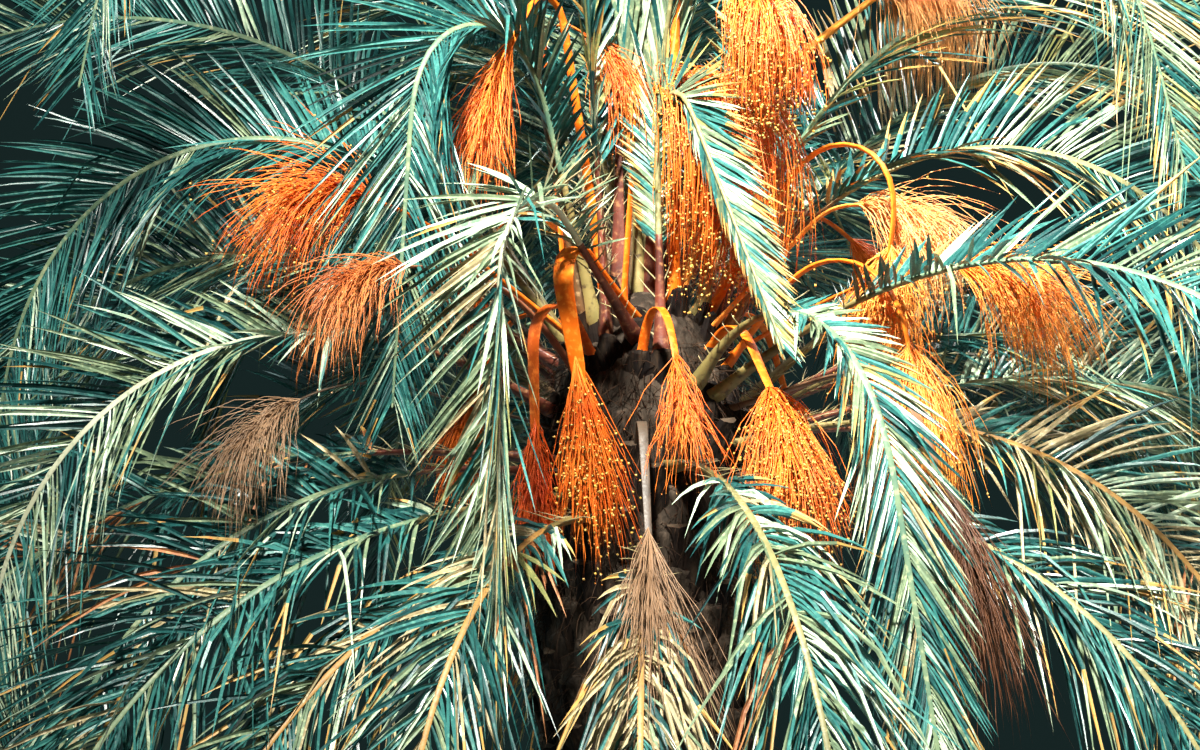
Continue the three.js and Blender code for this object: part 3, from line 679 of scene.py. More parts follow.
def deal_tints(frond, count):
    """A tint number for each leaflet, the same over a spray."""
    sprays = count // SPRAY + 1
    dealt = rng.choice(len(TINTS), sprays, p=frond.look.weights)
    return np.repeat(dealt, SPRAY)[:count]


sets = []
for frond in fronds:
    frond.look = look_of(frond)
    leaves = stand_leaflets(frond)
    leaves.tint = deal_tints(frond, len(leaves.u))
    leaves.dry = rng.random(len(leaves.u)) < frond.look.dry_tips
    sets.append(leaves)
FIELDS = ("root", "out", "wide", "length", "u", "broken", "width", "sag", "twist", "tint", "dry")
leaves = SimpleNamespace(**{
    field: np.concatenate([getattr(leaves, field) for leaves in sets]) for field in FIELDS})
print(len(leaves.u), "leaflets stand on the ribs")

# %% Shape the leaflets
STATIONS = np.array([0, 0.1, 0.3, 0.55, 0.8, 1])
PROFILE = np.array([0.4, 0.8, 1, 0.85, 0.5, 0])
FOLD = math.radians(34)
BREAK_AT = 0.45
TRUNK_CLEAR = 0.36
GROUND_CLEAR = 0.02
DOWN = np.array([0, 0, -1.0])


def leaflet_points(s):
    """Points of all leaflets, of shape (leaflets, points, 3)."""
    t = STATIONS[None, :, None]
    length = s.length[:, None, None]
    sag = s.sag[:, None, None]
    snap = s.broken[:, None, None]
    drop = sag * t ** 2 + snap * np.clip(t - BREAK_AT, 0, 1)
    point = s.root[:, None] + length * (s.out[:, None] * t + DOWN * drop)
    along = unit(s.out[:, None] + DOWN * (2 * sag * t + snap * (t > BREAK_AT)))
    wide = s.wide[:, None]
    wide = unit(wide - dot(wide, along) * along)
    face = np.cross(along, wide)
    c = np.cos(s.twist[:, None, None] * t)
    d = np.sin(s.twist[:, None, None] * t)
    wide, face = wide * c + face * d, face * c - wide * d
    half = s.width[:, None, None] / 2 * PROFILE[None, :, None]
    lean = face * half * math.sin(FOLD)
    left = point - wide * half * math.cos(FOLD) + lean
    right = point + wide * half * math.cos(FOLD) + lean
    rows = np.stack([left, point, right], 2).reshape(len(s.u), -1, 3)
    return np.concatenate([rows[:, :-3], point[:, -1:]], 1)


def kept_leaflets(points):
    """Leaflets that stay out of the trunk and above the ground."""
    from_axis = np.hypot(points[..., 0], points[..., 1])
    inside = ((from_axis < TRUNK_CLEAR) & (points[..., 2] < HEAD_HEIGHT)).any(1)
    return ~inside & (points[..., 2].min(1) > GROUND_CLEAR)


def select(s, mask):
    return SimpleNamespace(**{field: getattr(s, field)[mask] for field in FIELDS})


kept = kept_leaflets(leaflet_points(leaves))
leaves = select(leaves, kept)
print(len(leaves.u), "leaflets are clear of the trunk and the ground")

# %% Gather the leaflets by tint, and the dry tips apart
TIP_STATION = 3


def leaflet_nets(stations, pointed):
    rows = stations - 1 if pointed else stations
    net = grid_net(rows, 3, False)
    if not pointed:
        return (net,)
    last = 3 * (rows - 1)
    return net, np.array([(last, last + 1, last + 3), (last + 1, last + 2, last + 3)])


def gather_leaflets(tint, name):
    plain = select(leaves, (leaves.tint == tint) & ~leaves.dry)
    gather(f"leaflets_{name}", leaflet_points(plain), *leaflet_nets(len(STATIONS), True))
    dry = leaflet_points(select(leaves, (leaves.tint == tint) & leaves.dry))
    lower = dry[:, :3 * (TIP_STATION + 1)]
    tips = dry[:, 3 * TIP_STATION:]
    gather(f"leaflets_{name}", lower, *leaflet_nets(TIP_STATION + 1, False))
    gather("leaflets_dry_tips", tips, *leaflet_nets(len(STATIONS) - TIP_STATION, True))


for tint, name in enumerate(TINTS):
    gather_leaflets(tint, name)

# %% [markdown]
# ## Thorns
#
# Below the leaflets the petiole carries long pale thorns, which are leaflets that never opened.
# They get longer towards the first leaflets. Each is a slim cone with a slight bend.

# %% Thorns
THORN_STEP = 0.045
THORN_FROM = 0.045
THORN_JITTER = 0.004
THORN_SLANT = (48, 10)
THORN_LENGTHS = (0.04, 0.13)
THORN_RADII = (0.0028, 0.0019, 0)
THORN_BEND = 0.18
THORN_LIFTS = (-0.1, 0.6)
THORN_SIZES = (0.7, 1.1)
THORN_EDGE_SHARE = 0.4
OBLIQUE = (0.31, 0.2, 0.93)


def tubes(path, radius, sides):
    """Points of tubes along paths (tubes, stations, 3), each ending in its last station."""
    along = unit(np.gradient(path, axis=1))
    u = unit(np.cross(along, OBLIQUE))
    v = np.cross(along, u)
    angle = 2 * math.pi * np.arange(sides) / sides
    ring = (u[:, :, None] * np.cos(angle)[None, None, :, None]
            + v[:, :, None] * np.sin(angle)[None, None, :, None])
    rings = path[:, :-1, None] + ring[:, :-1] * radius[:, :-1, None, None]
    flat = rings.reshape(len(path), -1, 3)
    return np.concatenate([flat, path[:, -1:]], 1)


def grow_thorns(frond):
    """Two rows of thorns on the petiole's edges."""
    count = int(frond.line.length * (PETIOLE_SHARE - THORN_FROM) / THORN_STEP)
    share = np.linspace(THORN_FROM, PETIOLE_SHARE, count)
    share = np.repeat(share, 2) + rng.uniform(-THORN_JITTER, THORN_JITTER, 2 * count)
    hand = np.tile([1.0, -1.0], count)
    point, ahead, side, normal = frames(frond.line, share, roll_at(frond, share))
    slant = np.radians(rng.normal(*THORN_SLANT, 2 * count))[:, None]
    out = np.cos(slant) * ahead + np.sin(slant) * side * hand[:, None]
    out = unit(out + normal * rng.uniform(*THORN_LIFTS, (2 * count, 1)))
    grown = (share - THORN_FROM) / (PETIOLE_SHARE - THORN_FROM)
    length = mix(*THORN_LENGTHS, grown) * rng.uniform(*THORN_SIZES, 2 * count)
    root = point + side * (hand * rib_width(share) * THORN_EDGE_SHARE)[:, None]
    t = np.array([0, 0.5, 1])[None, :, None]
    course = out[:, None] * t + ahead[:, None] * THORN_BEND * t ** 2
    path = root[:, None] + course * length[:, None, None]
    radius = np.broadcast_to(THORN_RADII, (2 * count, 3))
    gather("thorns", tubes(path, radius, 3), *tube_nets(2, 3))


for frond in fronds:
    if frond.name != "young_fronds":
        grow_thorns(frond)

# %% [markdown]
# ## Flower bunches
#
# A bunch hangs from a flat stalk that is as bright as its strands. The strands leave the last
# stretch of the stalk on all sides, wave a little and hang. Each strand is a thin tube with
# three sides along a smooth curve. Round fruits with dark caps sit on the strands of the ripe
# bunches, and small buds on all that live. Dead bunches have the same build in brown.
#
# A bunch's look tells its tone, how many strands it has and how many fruits sit on each, how
# wide the broom opens, how much it hangs, how wide its stalk and how thick its strands are,
# and how early before the stalk's last stretch the first strands leave.

# %% Stalks
STALK_WIDTH = 0.044
STALK_TIP_WIDTH = 0.022
STALK_END = STALK_STEPS / (STALK_STEPS + BROOM_STEPS)
STALK_WIDENS_FROM = 0.3
STALK_WIDENS_OVER = 0.25
STALK_FOOT_SHARE = 0.1
STALK_FOOT_WIDER = 0.5
STALK_RUN_OUT = (0.85, 0.7, 0.5, 0.35)
STALK_FLATNESS = 0.55
STALK_RINGS = 26
BROOM_RINGS = 5
STALK_ROOT_DEPTH = 1.6 * ROOT_DEPTH


def bunch_look(tone, strands=330, fruit=0, open_to=1.0, hang=0.6, width=1.0, thick=0.8,
               early=0.03):
    return SimpleNamespace(tone=tone, strands=strands, fruit=fruit, open_to=open_to, hang=hang,
                           width=width, thick=thick, early=early)


BUNCH_LOOKS = {
    "bunch_front": bunch_look("orange", 330, 3, 0.75, 0.3, 2.1),
    "bunch_front_left": bunch_look("red", 220, 0, 0.8, 0.4, 1.4),
    "bunch_centre": bunch_look("orange", 150, 0, 1.5, 0.6, 0.8, 0.65),
    "bunch_right_front": bunch_look("orange", 480, 4, 1.4, 0.9),
    "bunch_tall": bunch_look("orange", 900, 7, 1.9, 3.6, early=0.09),
    "bunch_top_right": bunch_look("orange", 560, 4, 1.8, 2.0, 1.1),
    "bunch_top": bunch_look("orange", 280, 0, 1.6, 1.2, 0.8, 0.7),
    "bunch_top_left": bunch_look("orange", 300, 0, 1.1, 0.7),
    "bunch_yellow": bunch_look("peach", 400, 1, 1.7, 1.0, 1.2, 0.6),
    "bunch_right_low": bunch_look("yellow", 560, 1, 1.9, 1.3, 1.0, 0.7),
    "bunch_right_arch": bunch_look("yellow", 560, 1, 2.0, 1.3, 1.1, 0.7),
    "bunch_right_level": bunch_look("yellow", 420, 1, 1.5, 0.8, 0.8, 0.7),
    "bunch_high_right": bunch_look("peach", 520, 0, 1.7, 1.8, 1.9, 0.65),
    "bunch_left_high": bunch_look("orange", 360, 1, 1.4, 0.7, 1.0, 0.75),
    "bunch_left": bunch_look("rust", 260, 0, 1.4, 0.9, 0.9, 0.6),
    "bunch_dry_front": bunch_look("grey", 300, 0, 1.0, 0.3, 0.8, 0.6),
    "bunch_dry_left": bunch_look("grey", 260, 0, 1.5, 0.9, 0.6, 0.55),
    "bunch_dry_right": bunch_look("brown", 420, 0, 1.0, 0.5, 0.9, 0.75),
}
PLAIN_BUNCH = bunch_look("orange", 260, 0)


def sweep_stalk(bunch):
    """A flat stalk: broad at its foot, drawn in, and widened again before the strands."""
    below = np.linspace(0, STALK_END, STALK_RINGS)
    shares = np.concatenate([below, np.linspace(STALK_END, 1, BROOM_RINGS)[1:]])
    width = mix(STALK_WIDTH, STALK_TIP_WIDTH, shares)
    widened = smooth((shares - STALK_WIDENS_FROM) / STALK_WIDENS_OVER)
    width = width * mix(min(1, bunch.look.width), bunch.look.width, widened)
    width = width * (1 + STALK_FOOT_WIDER * np.clip(1 - shares / STALK_FOOT_SHARE, 0, 1))
    width[-len(STALK_RUN_OUT):] *= STALK_RUN_OUT
    sweep(f"stalks_{bunch.look.tone}", bunch.line, shares, 0 * shares, width,
          deep=STALK_FLATNESS, pulled_in=STALK_ROOT_DEPTH)


for bunch in bunches:
    bunch.look = BUNCH_LOOKS.get(bunch.name, PLAIN_BUNCH)
    sweep_stalk(bunch)
print(len(bunches), "stalks")

# %% Strands
STRAND_OPEN = 24
STRAND_OPEN_MORE = 14
STRAND_STATIONS = 7
STRAND_RADIUS = 0.0021
STRAND_THINS = (1.25, 0.6)
SLANT_RANGE = (0.25, 1.1)
STRAND_LENGTHS = (0.4, 1)
HANG_RANGE = (0.4, 1.7)
WAVE = 0.005
WAVES = (1.2, 2.6)
OTHER_WAVE = 0.8
WAVES_GROW = 3
STRAND_CROWDING = 0.9
SLANT_CURVE = 0.7
NEARLY_DOWN = DOWN + 0.01


def strand_paths(bunch):
    """Paths of all strands: out of the stalk at a slant, over in a curve, and down in waves."""
    count = bunch.look.strands
    share = mix(STALK_END - bunch.look.early, BLADE_END, rng.random(count) ** STRAND_CROWDING)
    point, ahead, side, normal = frames(bunch.line, share)
    around = rng.uniform(0, 2 * math.pi, count)[:, None]
    sideways = side * np.cos(around) + normal * np.sin(around)
    slant = np.radians(STRAND_OPEN + STRAND_OPEN_MORE * rng.random(count))
    slant = (slant * bunch.look.open_to * rng.uniform(*SLANT_RANGE, count) ** SLANT_CURVE)[:, None]
    out = np.cos(slant) * ahead + np.sin(slant) * sideways
    length = (bunch.strand * rng.uniform(*STRAND_LENGTHS, count))[:, None]
    reach = length * unit(out + DOWN * bunch.look.hang * rng.uniform(*HANG_RANGE, (count, 1)))
    t = np.linspace(0, 1, STRAND_STATIONS)[None, :, None]
    path = point[:, None] + length[:, None] * out[:, None] * t * (1 - t) + reach[:, None] * t ** 2
    phase = rng.uniform(0, 2 * math.pi, (2, count, 1, 1))
    beat = rng.uniform(*WAVES, (count, 1, 1)) * 2 * math.pi
    across = unit(np.cross(out, NEARLY_DOWN))[:, None]
    other = np.cross(unit(out), across[:, 0])[:, None]
    wave = across * np.sin(beat * t + phase[0])
    wave = wave + other * np.sin(beat * OTHER_WAVE * t + phase[1])
    return path + wave * WAVE * np.minimum(1, WAVES_GROW * t)


def gather_strands(bunch):
    path = strand_paths(bunch)
    thin = np.linspace(*STRAND_THINS, STRAND_STATIONS) * STRAND_RADIUS * bunch.look.thick
    points = tubes(path, np.broadcast_to(thin, path.shape[:2]), 3)
    gather(f"strands_{bunch.look.tone}", points, *tube_nets(STRAND_STATIONS - 1, 3))
    return path


for bunch in bunches:
    bunch.paths = gather_strands(bunch)
print(sum(bunch.look.strands for bunch in bunches), "strands")

# %% Fruits and buds
FRUIT_RADIUS = 0.0047
FRUIT_SIZES = (0.8, 1.15)
FRUITS_FROM = 0.2
FRUIT_SIDES = (1, 1, 0.6)
FRUIT_DOWN = 0.3
FRUIT_FORWARD = 0.3
FRUIT_OUT = 1.5
CAP_IN = 0.7
BUD_RADIUS = 0.0026
BUD_SIZES = (0.7, 1.2)
BUDS = 4
BUDS_FROM = 0.15
BUD_LENGTH = 1.6
BUD_FORWARD = 0.5
JUST_PAST_ONE = 1.001
ALSO_OBLIQUE = (0.3, 0.8, 0.52)
DEAD_TONES = ("grey", "brown")
BALL = np.array([(1, 0, 0), (0, 1, 0), (-1, 0, 0), (0, -1, 0), (0, 0, 1.25), (0, 0, -1.25)])
BALL_NET = np.array([(0, 1, 4), (1, 2, 4), (2, 3, 4), (3, 0, 4),
                     (1, 0, 5), (2, 1, 5), (3, 2, 5), (0, 3, 5)])
CAP = np.array([(0.62, 0, 0), (-0.31, 0.54, 0), (-0.31, -0.54, 0), (0, 0, 0.5)])
CAP_NET = np.array([(0, 1, 3), (1, 2, 3), (2, 0, 3)])


def on_strands(path, each, first):
    """Seeded places along strands, with the strand's heading there."""
    strand = np.repeat(np.arange(len(path)), each)
    place = rng.uniform(first, 1, len(strand)) * (path.shape[1] - JUST_PAST_ONE)
    i = place.astype(int)
    t = (place - i)[:, None]
    here = path[strand, i] * (1 - t) + path[strand, i + 1] * t
    return here, unit(path[strand, i + 1] - path[strand, i])


def axes_from(up):
    """Three square axes for each shape, the last along the given direction."""
    across = unit(np.cross(up, ALSO_OBLIQUE))
    return np.stack([across, np.cross(up, across), up], 1)


def place_shapes(shape, at, axes, size):
    return at[:, None] + np.einsum("pk,nkd->npd", shape, axes) * size[:, None, None]


def grow_fruits(bunch, each):
    """Round fruits beside the strands, each seated in a small cap."""
    here, along = on_strands(bunch.paths, each, FRUITS_FROM)
    outward = rng.normal(0, 1, here.shape) * FRUIT_SIDES
    outward = unit(outward + DOWN * FRUIT_DOWN + along * FRUIT_FORWARD)
    size = FRUIT_RADIUS * rng.uniform(*FRUIT_SIZES, len(here))
    axes = axes_from(outward)
    middle = here + outward * (size * FRUIT_OUT)[:, None]
    gather("fruits", place_shapes(BALL, middle, axes, size), BALL_NET)
    seat = middle - outward * size[:, None] * CAP_IN
    gather("fruit_caps", place_shapes(CAP * [1, 1, -1], seat, axes, size), CAP_NET)


def grow_buds(bunch):
    """Small beads right on the strands."""
    here, along = on_strands(bunch.paths, BUDS, BUDS_FROM)
    outward = unit(rng.normal(0, 1, here.shape) + along * BUD_FORWARD)
    size = BUD_RADIUS * rng.uniform(*BUD_SIZES, len(here))
    points = place_shapes(CAP * BUD_LENGTH, here, axes_from(outward), size)
    gather(f"buds_{bunch.look.tone}", points, CAP_NET)


for bunch in bunches:
    if bunch.look.fruit:
        grow_fruits(bunch, bunch.look.fruit)
    if bunch.look.tone not in DEAD_TONES:
        grow_buds(bunch)
print(sum(bunch.look.fruit * bunch.look.strands for bunch in bunches), "fruits")

# %% [markdown]
# ## Trunk
#
# The trunk wears the stubs of old fronds like scales, each a low boot that stands out most at
# its cut top edge. They climb in staggered rows, and near the ground the weather has worn them
# flat. A fine grid round the trunk is pushed out by one sum for the shape of a scale, and
# furrowed by another. The youngest stubs stand out further, so they are added as pieces of
# their own. Each living frond and stalk stands behind a dark boot, which is the base of an
# older frond, and coarse brown fibre hangs between them. Bark, stubs, boots and fibre are
# coloured nearly black, as painted shade for the deep shade under the crown.

# %% Trunk with its scales
FOOT_RADIUS = 0.43
FLARE_HEIGHT = 0.42
TRUNK_RADIUS = 0.3
COLLAR_RADIUS = 0.315
COLLAR_FROM = 1.3
COLLAR_OVER = 0.7
NECK_LENGTH = 0.33
TRUNK_TOP = HEAD_HEIGHT + HEAD_RISE
SCALES_ROUND = 13
SCALE_HEIGHT = 0.115
SCALE_DEPTH = 0.03
SCALE_STAGGER = 0.5
SCALE_DRIFT = 0.09
LIP_FROM = 0.86
LIP_OVER = 0.14
WORN_DEPTHS = (0.45, 1.15)
WORN_UNTIL = 1.6
TOP_FADES_OVER = 0.35
SCALE_ROUNDNESS = 2.4
SCALE_FOOT = 0.25
SCALE_CURVE = 1.3
UNEVEN_LEAST = 0.75
UNEVEN_MORE = 0.5
UNEVEN_ROUND = 12.9
UNEVEN_UP = 78.2
ROUGHNESS = 0.004
FURROWS = 37
FURROW_SWAY = 9
SWAY_BEAT = 23
CRACK_BEAT = 61
CRACK_SLANT = 5
TOP_MARGIN = 0.002
TRUNK_COLUMNS = 208
TRUNK_ROWS = 230


def trunk_radius(z):
    """Flare at the foot, collar of old bases below the crown, and the dome of the head."""
    flare = (FOOT_RADIUS - TRUNK_RADIUS) * np.clip(1 - z / FLARE_HEIGHT, 0, 1) ** 2
    collar = (COLLAR_RADIUS - TRUNK_RADIUS) * smooth((z - COLLAR_FROM) / COLLAR_OVER)
    rise = (z - HEAD_HEIGHT) / HEAD_RISE
    dome = HEAD_RADIUS * np.sqrt(np.clip(1 - rise * rise, 0, 1))
    neck = smooth((z - HEAD_HEIGHT + NECK_LENGTH) / NECK_LENGTH)
    return mix(TRUNK_RADIUS + flare + collar, dome, neck)


def scale_relief(angle, z):
    """How far a scale stands out, from its sunken foot to the sharp edge of its cut top."""
    row = np.floor(z / SCALE_HEIGHT)
    up = z / SCALE_HEIGHT - row
    place = angle / (2 * math.pi) * SCALES_ROUND + row * SCALE_STAGGER + SCALE_DRIFT * row
    across = 2 * (place - np.floor(place)) - 1
    turn = UNEVEN_ROUND * np.floor(place) + UNEVEN_UP * row
    uneven = UNEVEN_LEAST + UNEVEN_MORE * np.abs(np.sin(turn))
    rising = SCALE_FOOT + (1 - SCALE_FOOT) * up ** SCALE_CURVE
    body = (1 - np.abs(across) ** SCALE_ROUNDNESS) * rising
    lip = 1 - smooth((up - LIP_FROM) / LIP_OVER)
    return body * lip * uneven


def make_trunk():
    z = np.linspace(0, 1, TRUNK_ROWS) * (TRUNK_TOP - TOP_MARGIN)
    angle = np.linspace(0, 2 * math.pi, TRUNK_COLUMNS, endpoint=False)
    z_grid, a_grid = np.meshgrid(z, angle, indexing="ij")
    worn = mix(*WORN_DEPTHS, smooth(z_grid / WORN_UNTIL))
    worn = worn * smooth((TRUNK_TOP - z_grid) / TOP_FADES_OVER)
    rough = ROUGHNESS * np.sin(a_grid * FURROWS + FURROW_SWAY * np.sin(z_grid * SWAY_BEAT))
    rough = rough * np.sin(z_grid * CRACK_BEAT + a_grid * CRACK_SLANT)
    radius = trunk_radius(z_grid) + worn * SCALE_DEPTH * scale_relief(a_grid, z_grid) + rough
    points = np.stack([radius * np.cos(a_grid), radius * np.sin(a_grid), z_grid], -1)
    flat = points.reshape(-1, 3)
    ends = np.array([(0, 0, 0), (0, 0, TRUNK_TOP)])
    foot = len(flat)
    around = np.arange(TRUNK_COLUMNS)
    ahead = (around + 1) % TRUNK_COLUMNS
    last = (TRUNK_ROWS - 1) * TRUNK_COLUMNS
    floor_fan = np.stack([np.full(TRUNK_COLUMNS, foot), ahead, around], 1)
    top_fan = np.stack([np.full(TRUNK_COLUMNS, foot + 1), last + around, last + ahead], 1)
    gather("trunk_bark_in_painted_shade", np.vstack([flat, ends])[None],
           grid_net(TRUNK_ROWS, TRUNK_COLUMNS, True), np.vstack([floor_fan, top_fan]))


make_trunk()

# %% Stubs of old fronds
STUB_ROWS = 9
STUBS_FROM = 1.32
STUB_ROW_HEIGHT = 0.125
STUBS_LEFT = 0.9
STUB_SLOPES = (58, 74)
STUB_LENGTHS = (0.11, 0.2)
STUB_SHARES = (0, 0.35, 0.7, 1.0)
STUB_WIDTHS = (0.15, 0.115, 0.08, 0.066)
STUB_SUNK = 0.03
STUB_TURN_JITTER = 3
STUB_HEIGHT_JITTER = 0.03
CUT_RAISED = 0.006
STUB_SECTION = np.array([(-0.5, 0.1), (0.5, 0.1), (0.42, -0.12), (0, -0.3), (-0.42, -0.12)])


def base_rings(middles, side, normal, widths):
    """The rings of a leaf base's section round the given middles."""
    across = STUB_SECTION[:, 0][None, :, None] * side[:, None]
    through = STUB_SECTION[:, 1][None, :, None] * normal[:, None]
    return np.concatenate([
        middle[:, None] + (across - through) * wide for middle, wide in zip(middles, widths)], 1)


def make_stubs():
    """Cut leaf bases in staggered rows below the living fronds, wide at the foot."""
    rows = []
    for row in range(STUB_ROWS):
        z = STUBS_FROM + row * STUB_ROW_HEIGHT
        place = np.arange(SCALES_ROUND) + SCALE_STAGGER * (row % 2) + SCALE_DRIFT * row
        turns = 360 * place / SCALES_ROUND
        for turn in turns:
            moved = turn + rng.uniform(-STUB_TURN_JITTER, STUB_TURN_JITTER)
            rows.append((moved, z + rng.uniform(-STUB_HEIGHT_JITTER, STUB_HEIGHT_JITTER)))
    turn, z = np.array(rows).T
    keep = rng.random(len(turn)) < STUBS_LEFT
    turn, z = turn[keep], z[keep]
    ahead = heading(turn, rng.uniform(*STUB_SLOPES, len(turn)))
    side = heading(turn + 90, 0)
    normal = np.cross(side, ahead)
    radius = trunk_radius(z)[:, None]
    foot = heading(turn, 0) * (radius - STUB_SUNK) + np.stack([0 * z, 0 * z, z], -1)
    length = rng.uniform(*STUB_LENGTHS, len(turn))
    middles = [foot + ahead * (length * share)[:, None] for share in STUB_SHARES]
    points = base_rings(middles, side, normal, STUB_WIDTHS)
    count = len(STUB_SECTION)
    gather("stubs_in_painted_shade", points, grid_net(len(STUB_SHARES), count, True))
    top = points[:, -count:]
    raised = top.mean(1, keepdims=True) + ahead[:, None] * CUT_RAISED
    caps = np.concatenate([top, raised], 1)
    fan = np.array([(c, (c + 1) % count, count) for c in range(count)])
    gather("stub_cuts_in_painted_shade", caps, fan)
    print(len(points), "stubs_in_painted_shade")


make_stubs()

# %% Boots at the living fronds and stalks
BOOT_SLOPES = (66, 82)
BOOT_LENGTHS = (0.14, 0.22)
BOOT_WIDTHS = (0.13, 0.12, 0.095, 0.05)
BOOT_OUT = 0.012
BOOT_BELOW = 0.7
BOOT_POINT = 0.01


def make_boots(grown):
    """A clasping base in front of the foot of each frond and stalk, dark as painted shade."""
    foot = np.array([thing.foot for thing in grown])
    turn = np.degrees(np.arctan2(foot[:, 0], -foot[:, 1]))
    ahead = heading(turn, rng.uniform(*BOOT_SLOPES, len(turn)))
    side = heading(turn + 90, 0)
    normal = np.cross(side, ahead)
    length = rng.uniform(*BOOT_LENGTHS, len(turn))[:, None]
    start = foot + heading(turn, 0) * BOOT_OUT - ahead * length * BOOT_BELOW
    shares = np.linspace(0, 1, len(BOOT_WIDTHS))
    middles = [start + ahead * length * share for share in shares]
    points = base_rings(middles, side, normal, BOOT_WIDTHS)
    corners = len(STUB_SECTION)
    top = points[:, -corners:].mean(1, keepdims=True) + ahead[:, None] * BOOT_POINT
    gather("stubs_in_painted_shade", np.concatenate([points, top], 1), *tube_nets(len(shares), corners))
    print(len(turn), "boots")


make_boots([thing for thing in fronds + bunches if thing.name != "young_fronds"])

# %% Fibre between the stubs
FIBRES = 2600
FIBRE_STATIONS = 5
FIBRE_FROM = 1.35
FIBRE_OVER = 1.35
FIBRE_LENGTHS = (0.06, 0.2)
FIBRE_RADII = (0.0018, 0.0008)
FIBRE_CROWDING = 0.7
FIBRE_CLEAR = 0.005
FIBRE_TURN_SPREAD = 60
FIBRE_SLOPES = (-50, 70)
FIBRE_OUT = 0.7
FIBRE_CURL = 0.35
FIBRE_SAG = 0.5


def make_fibre():
    """Coarse brown threads that hang in loops from the leaf bases round the head."""
    turn = rng.uniform(0, 360, FIBRES)
    z = FIBRE_FROM + FIBRE_OVER * rng.random(FIBRES) ** FIBRE_CROWDING
    root = heading(turn, 0) * (trunk_radius(z)[:, None] + FIBRE_CLEAR)
    root = root + np.stack([0 * z, 0 * z, z], -1)
    aside = rng.normal(0, FIBRE_TURN_SPREAD, FIBRES)
    out = unit(heading(turn + aside, rng.uniform(*FIBRE_SLOPES, FIBRES)))
    length = rng.uniform(*FIBRE_LENGTHS, FIBRES)[:, None, None]
    t = np.linspace(0, 1, FIBRE_STATIONS)[None, :, None]
    curl = unit(rng.normal(0, 1, (FIBRES, 3)))[:, None]
    course = out[:, None] * t * FIBRE_OUT + curl * FIBRE_CURL * t ** 2 + DOWN * FIBRE_SAG * t ** 2
    path = root[:, None] + length * course
    thin = np.linspace(*FIBRE_RADII, FIBRE_STATIONS)
    points = tubes(path, np.broadcast_to(thin, path.shape[:2]), 3)
    gather("fibre", points, *tube_nets(FIBRE_STATIONS - 1, 3))


make_fibre()

# %% [markdown]
# ## Finishes
#
# All finishes share two effects, so each is a node group. Mottle gives soft patches that drift
# over a surface. Grain gives fine streaks for wax, fibre and bark. They read the place in
# the object, so they need no unwrapping. Every material mixes its own tones by the mottle and
# takes its bump and its roughness from the grain. Two tones lie in patches, and a third one,
# where it is given, lies over them in specks.

# %% Shared effects as node groups
def node_group(title, inputs, outputs):
    group = bpy.data.node_groups.new(title, "ShaderNodeTree")
    for name, kind, default in inputs:
        socket = group.interface.new_socket(name, in_out="INPUT", socket_type=kind)
        socket.default_value = default
    for name in outputs:
        group.interface.new_socket(name, in_out="OUTPUT", socket_type="NodeSocketFloat")
    return group, group.nodes.new("NodeGroupInput"), group.nodes.new("NodeGroupOutput")


def noise_chain(group, given, detail):
    """Object place, stretched, into noise, then contrast between two limits."""
    add = group.nodes.new
    place = add("ShaderNodeTexCoord")
    stretch = add("ShaderNodeVectorMath")
    stretch.operation = "MULTIPLY"
    noise = add("ShaderNodeTexNoise")
    noise.inputs["Detail"].default_value = detail
    limits = add("ShaderNodeMapRange")
    link = group.links.new
    link(place.outputs["Object"], stretch.inputs[0])
    link(given.outputs["Stretch"], stretch.inputs[1])
    link(stretch.outputs[0], noise.inputs["Vector"])
    link(given.outputs["Scale"], noise.inputs["Scale"])
    link(noise.outputs["Fac"], limits.inputs["Value"])
    link(given.outputs["Low"], limits.inputs["From Min"])
    link(given.outputs["High"], limits.inputs["From Max"])
    return limits


NOISE_INPUTS = (
    ("Scale", "NodeSocketFloat", 5.0), ("Stretch", "NodeSocketVector", (1, 1, 1)),
    ("Low", "NodeSocketFloat", 0.35), ("High", "NodeSocketFloat", 0.65))
MOTTLE, given, taken_out = node_group("Mottle", NOISE_INPUTS, ("Mask",))
chain = noise_chain(MOTTLE, given, detail=3)
MOTTLE.links.new(chain.outputs["Result"], taken_out.inputs["Mask"])
GRAIN, given, taken_out = node_group("Grain", NOISE_INPUTS, ("Height",))
chain = noise_chain(GRAIN, given, detail=5)
GRAIN.links.new(chain.outputs["Result"], taken_out.inputs["Height"])

# %% One recipe for all finishes
def place_group(tree, group, scale, stretch, low, high):
    node = tree.nodes.new("ShaderNodeGroup")
    node.node_tree = group
    node.inputs["Scale"].default_value = scale
    node.inputs["Stretch"].default_value = stretch
    node.inputs["Low"].default_value = low
    node.inputs["High"].default_value = high
    return node


def blend(tree, mask, first, second):
    """Mixes two colours, or a socket and a colour, by a mask."""
    node = tree.nodes.new("ShaderNodeMix")
    node.data_type = "RGBA"
    tree.links.new(mask, node.inputs["Factor"])
    for socket, value in ((node.inputs["A"], first), (node.inputs["B"], second)):
        if isinstance(value, tuple):
            socket.default_value = (*value, 1)
        else:
            tree.links.new(value, socket)
    return node.outputs["Result"]


PATCH_LIMITS = (0.36, 0.64)
SPECK_LIMITS = (0.52, 0.7)
SPECKS_FINER = 6
GRAIN_LIMITS = (0.3, 0.7)


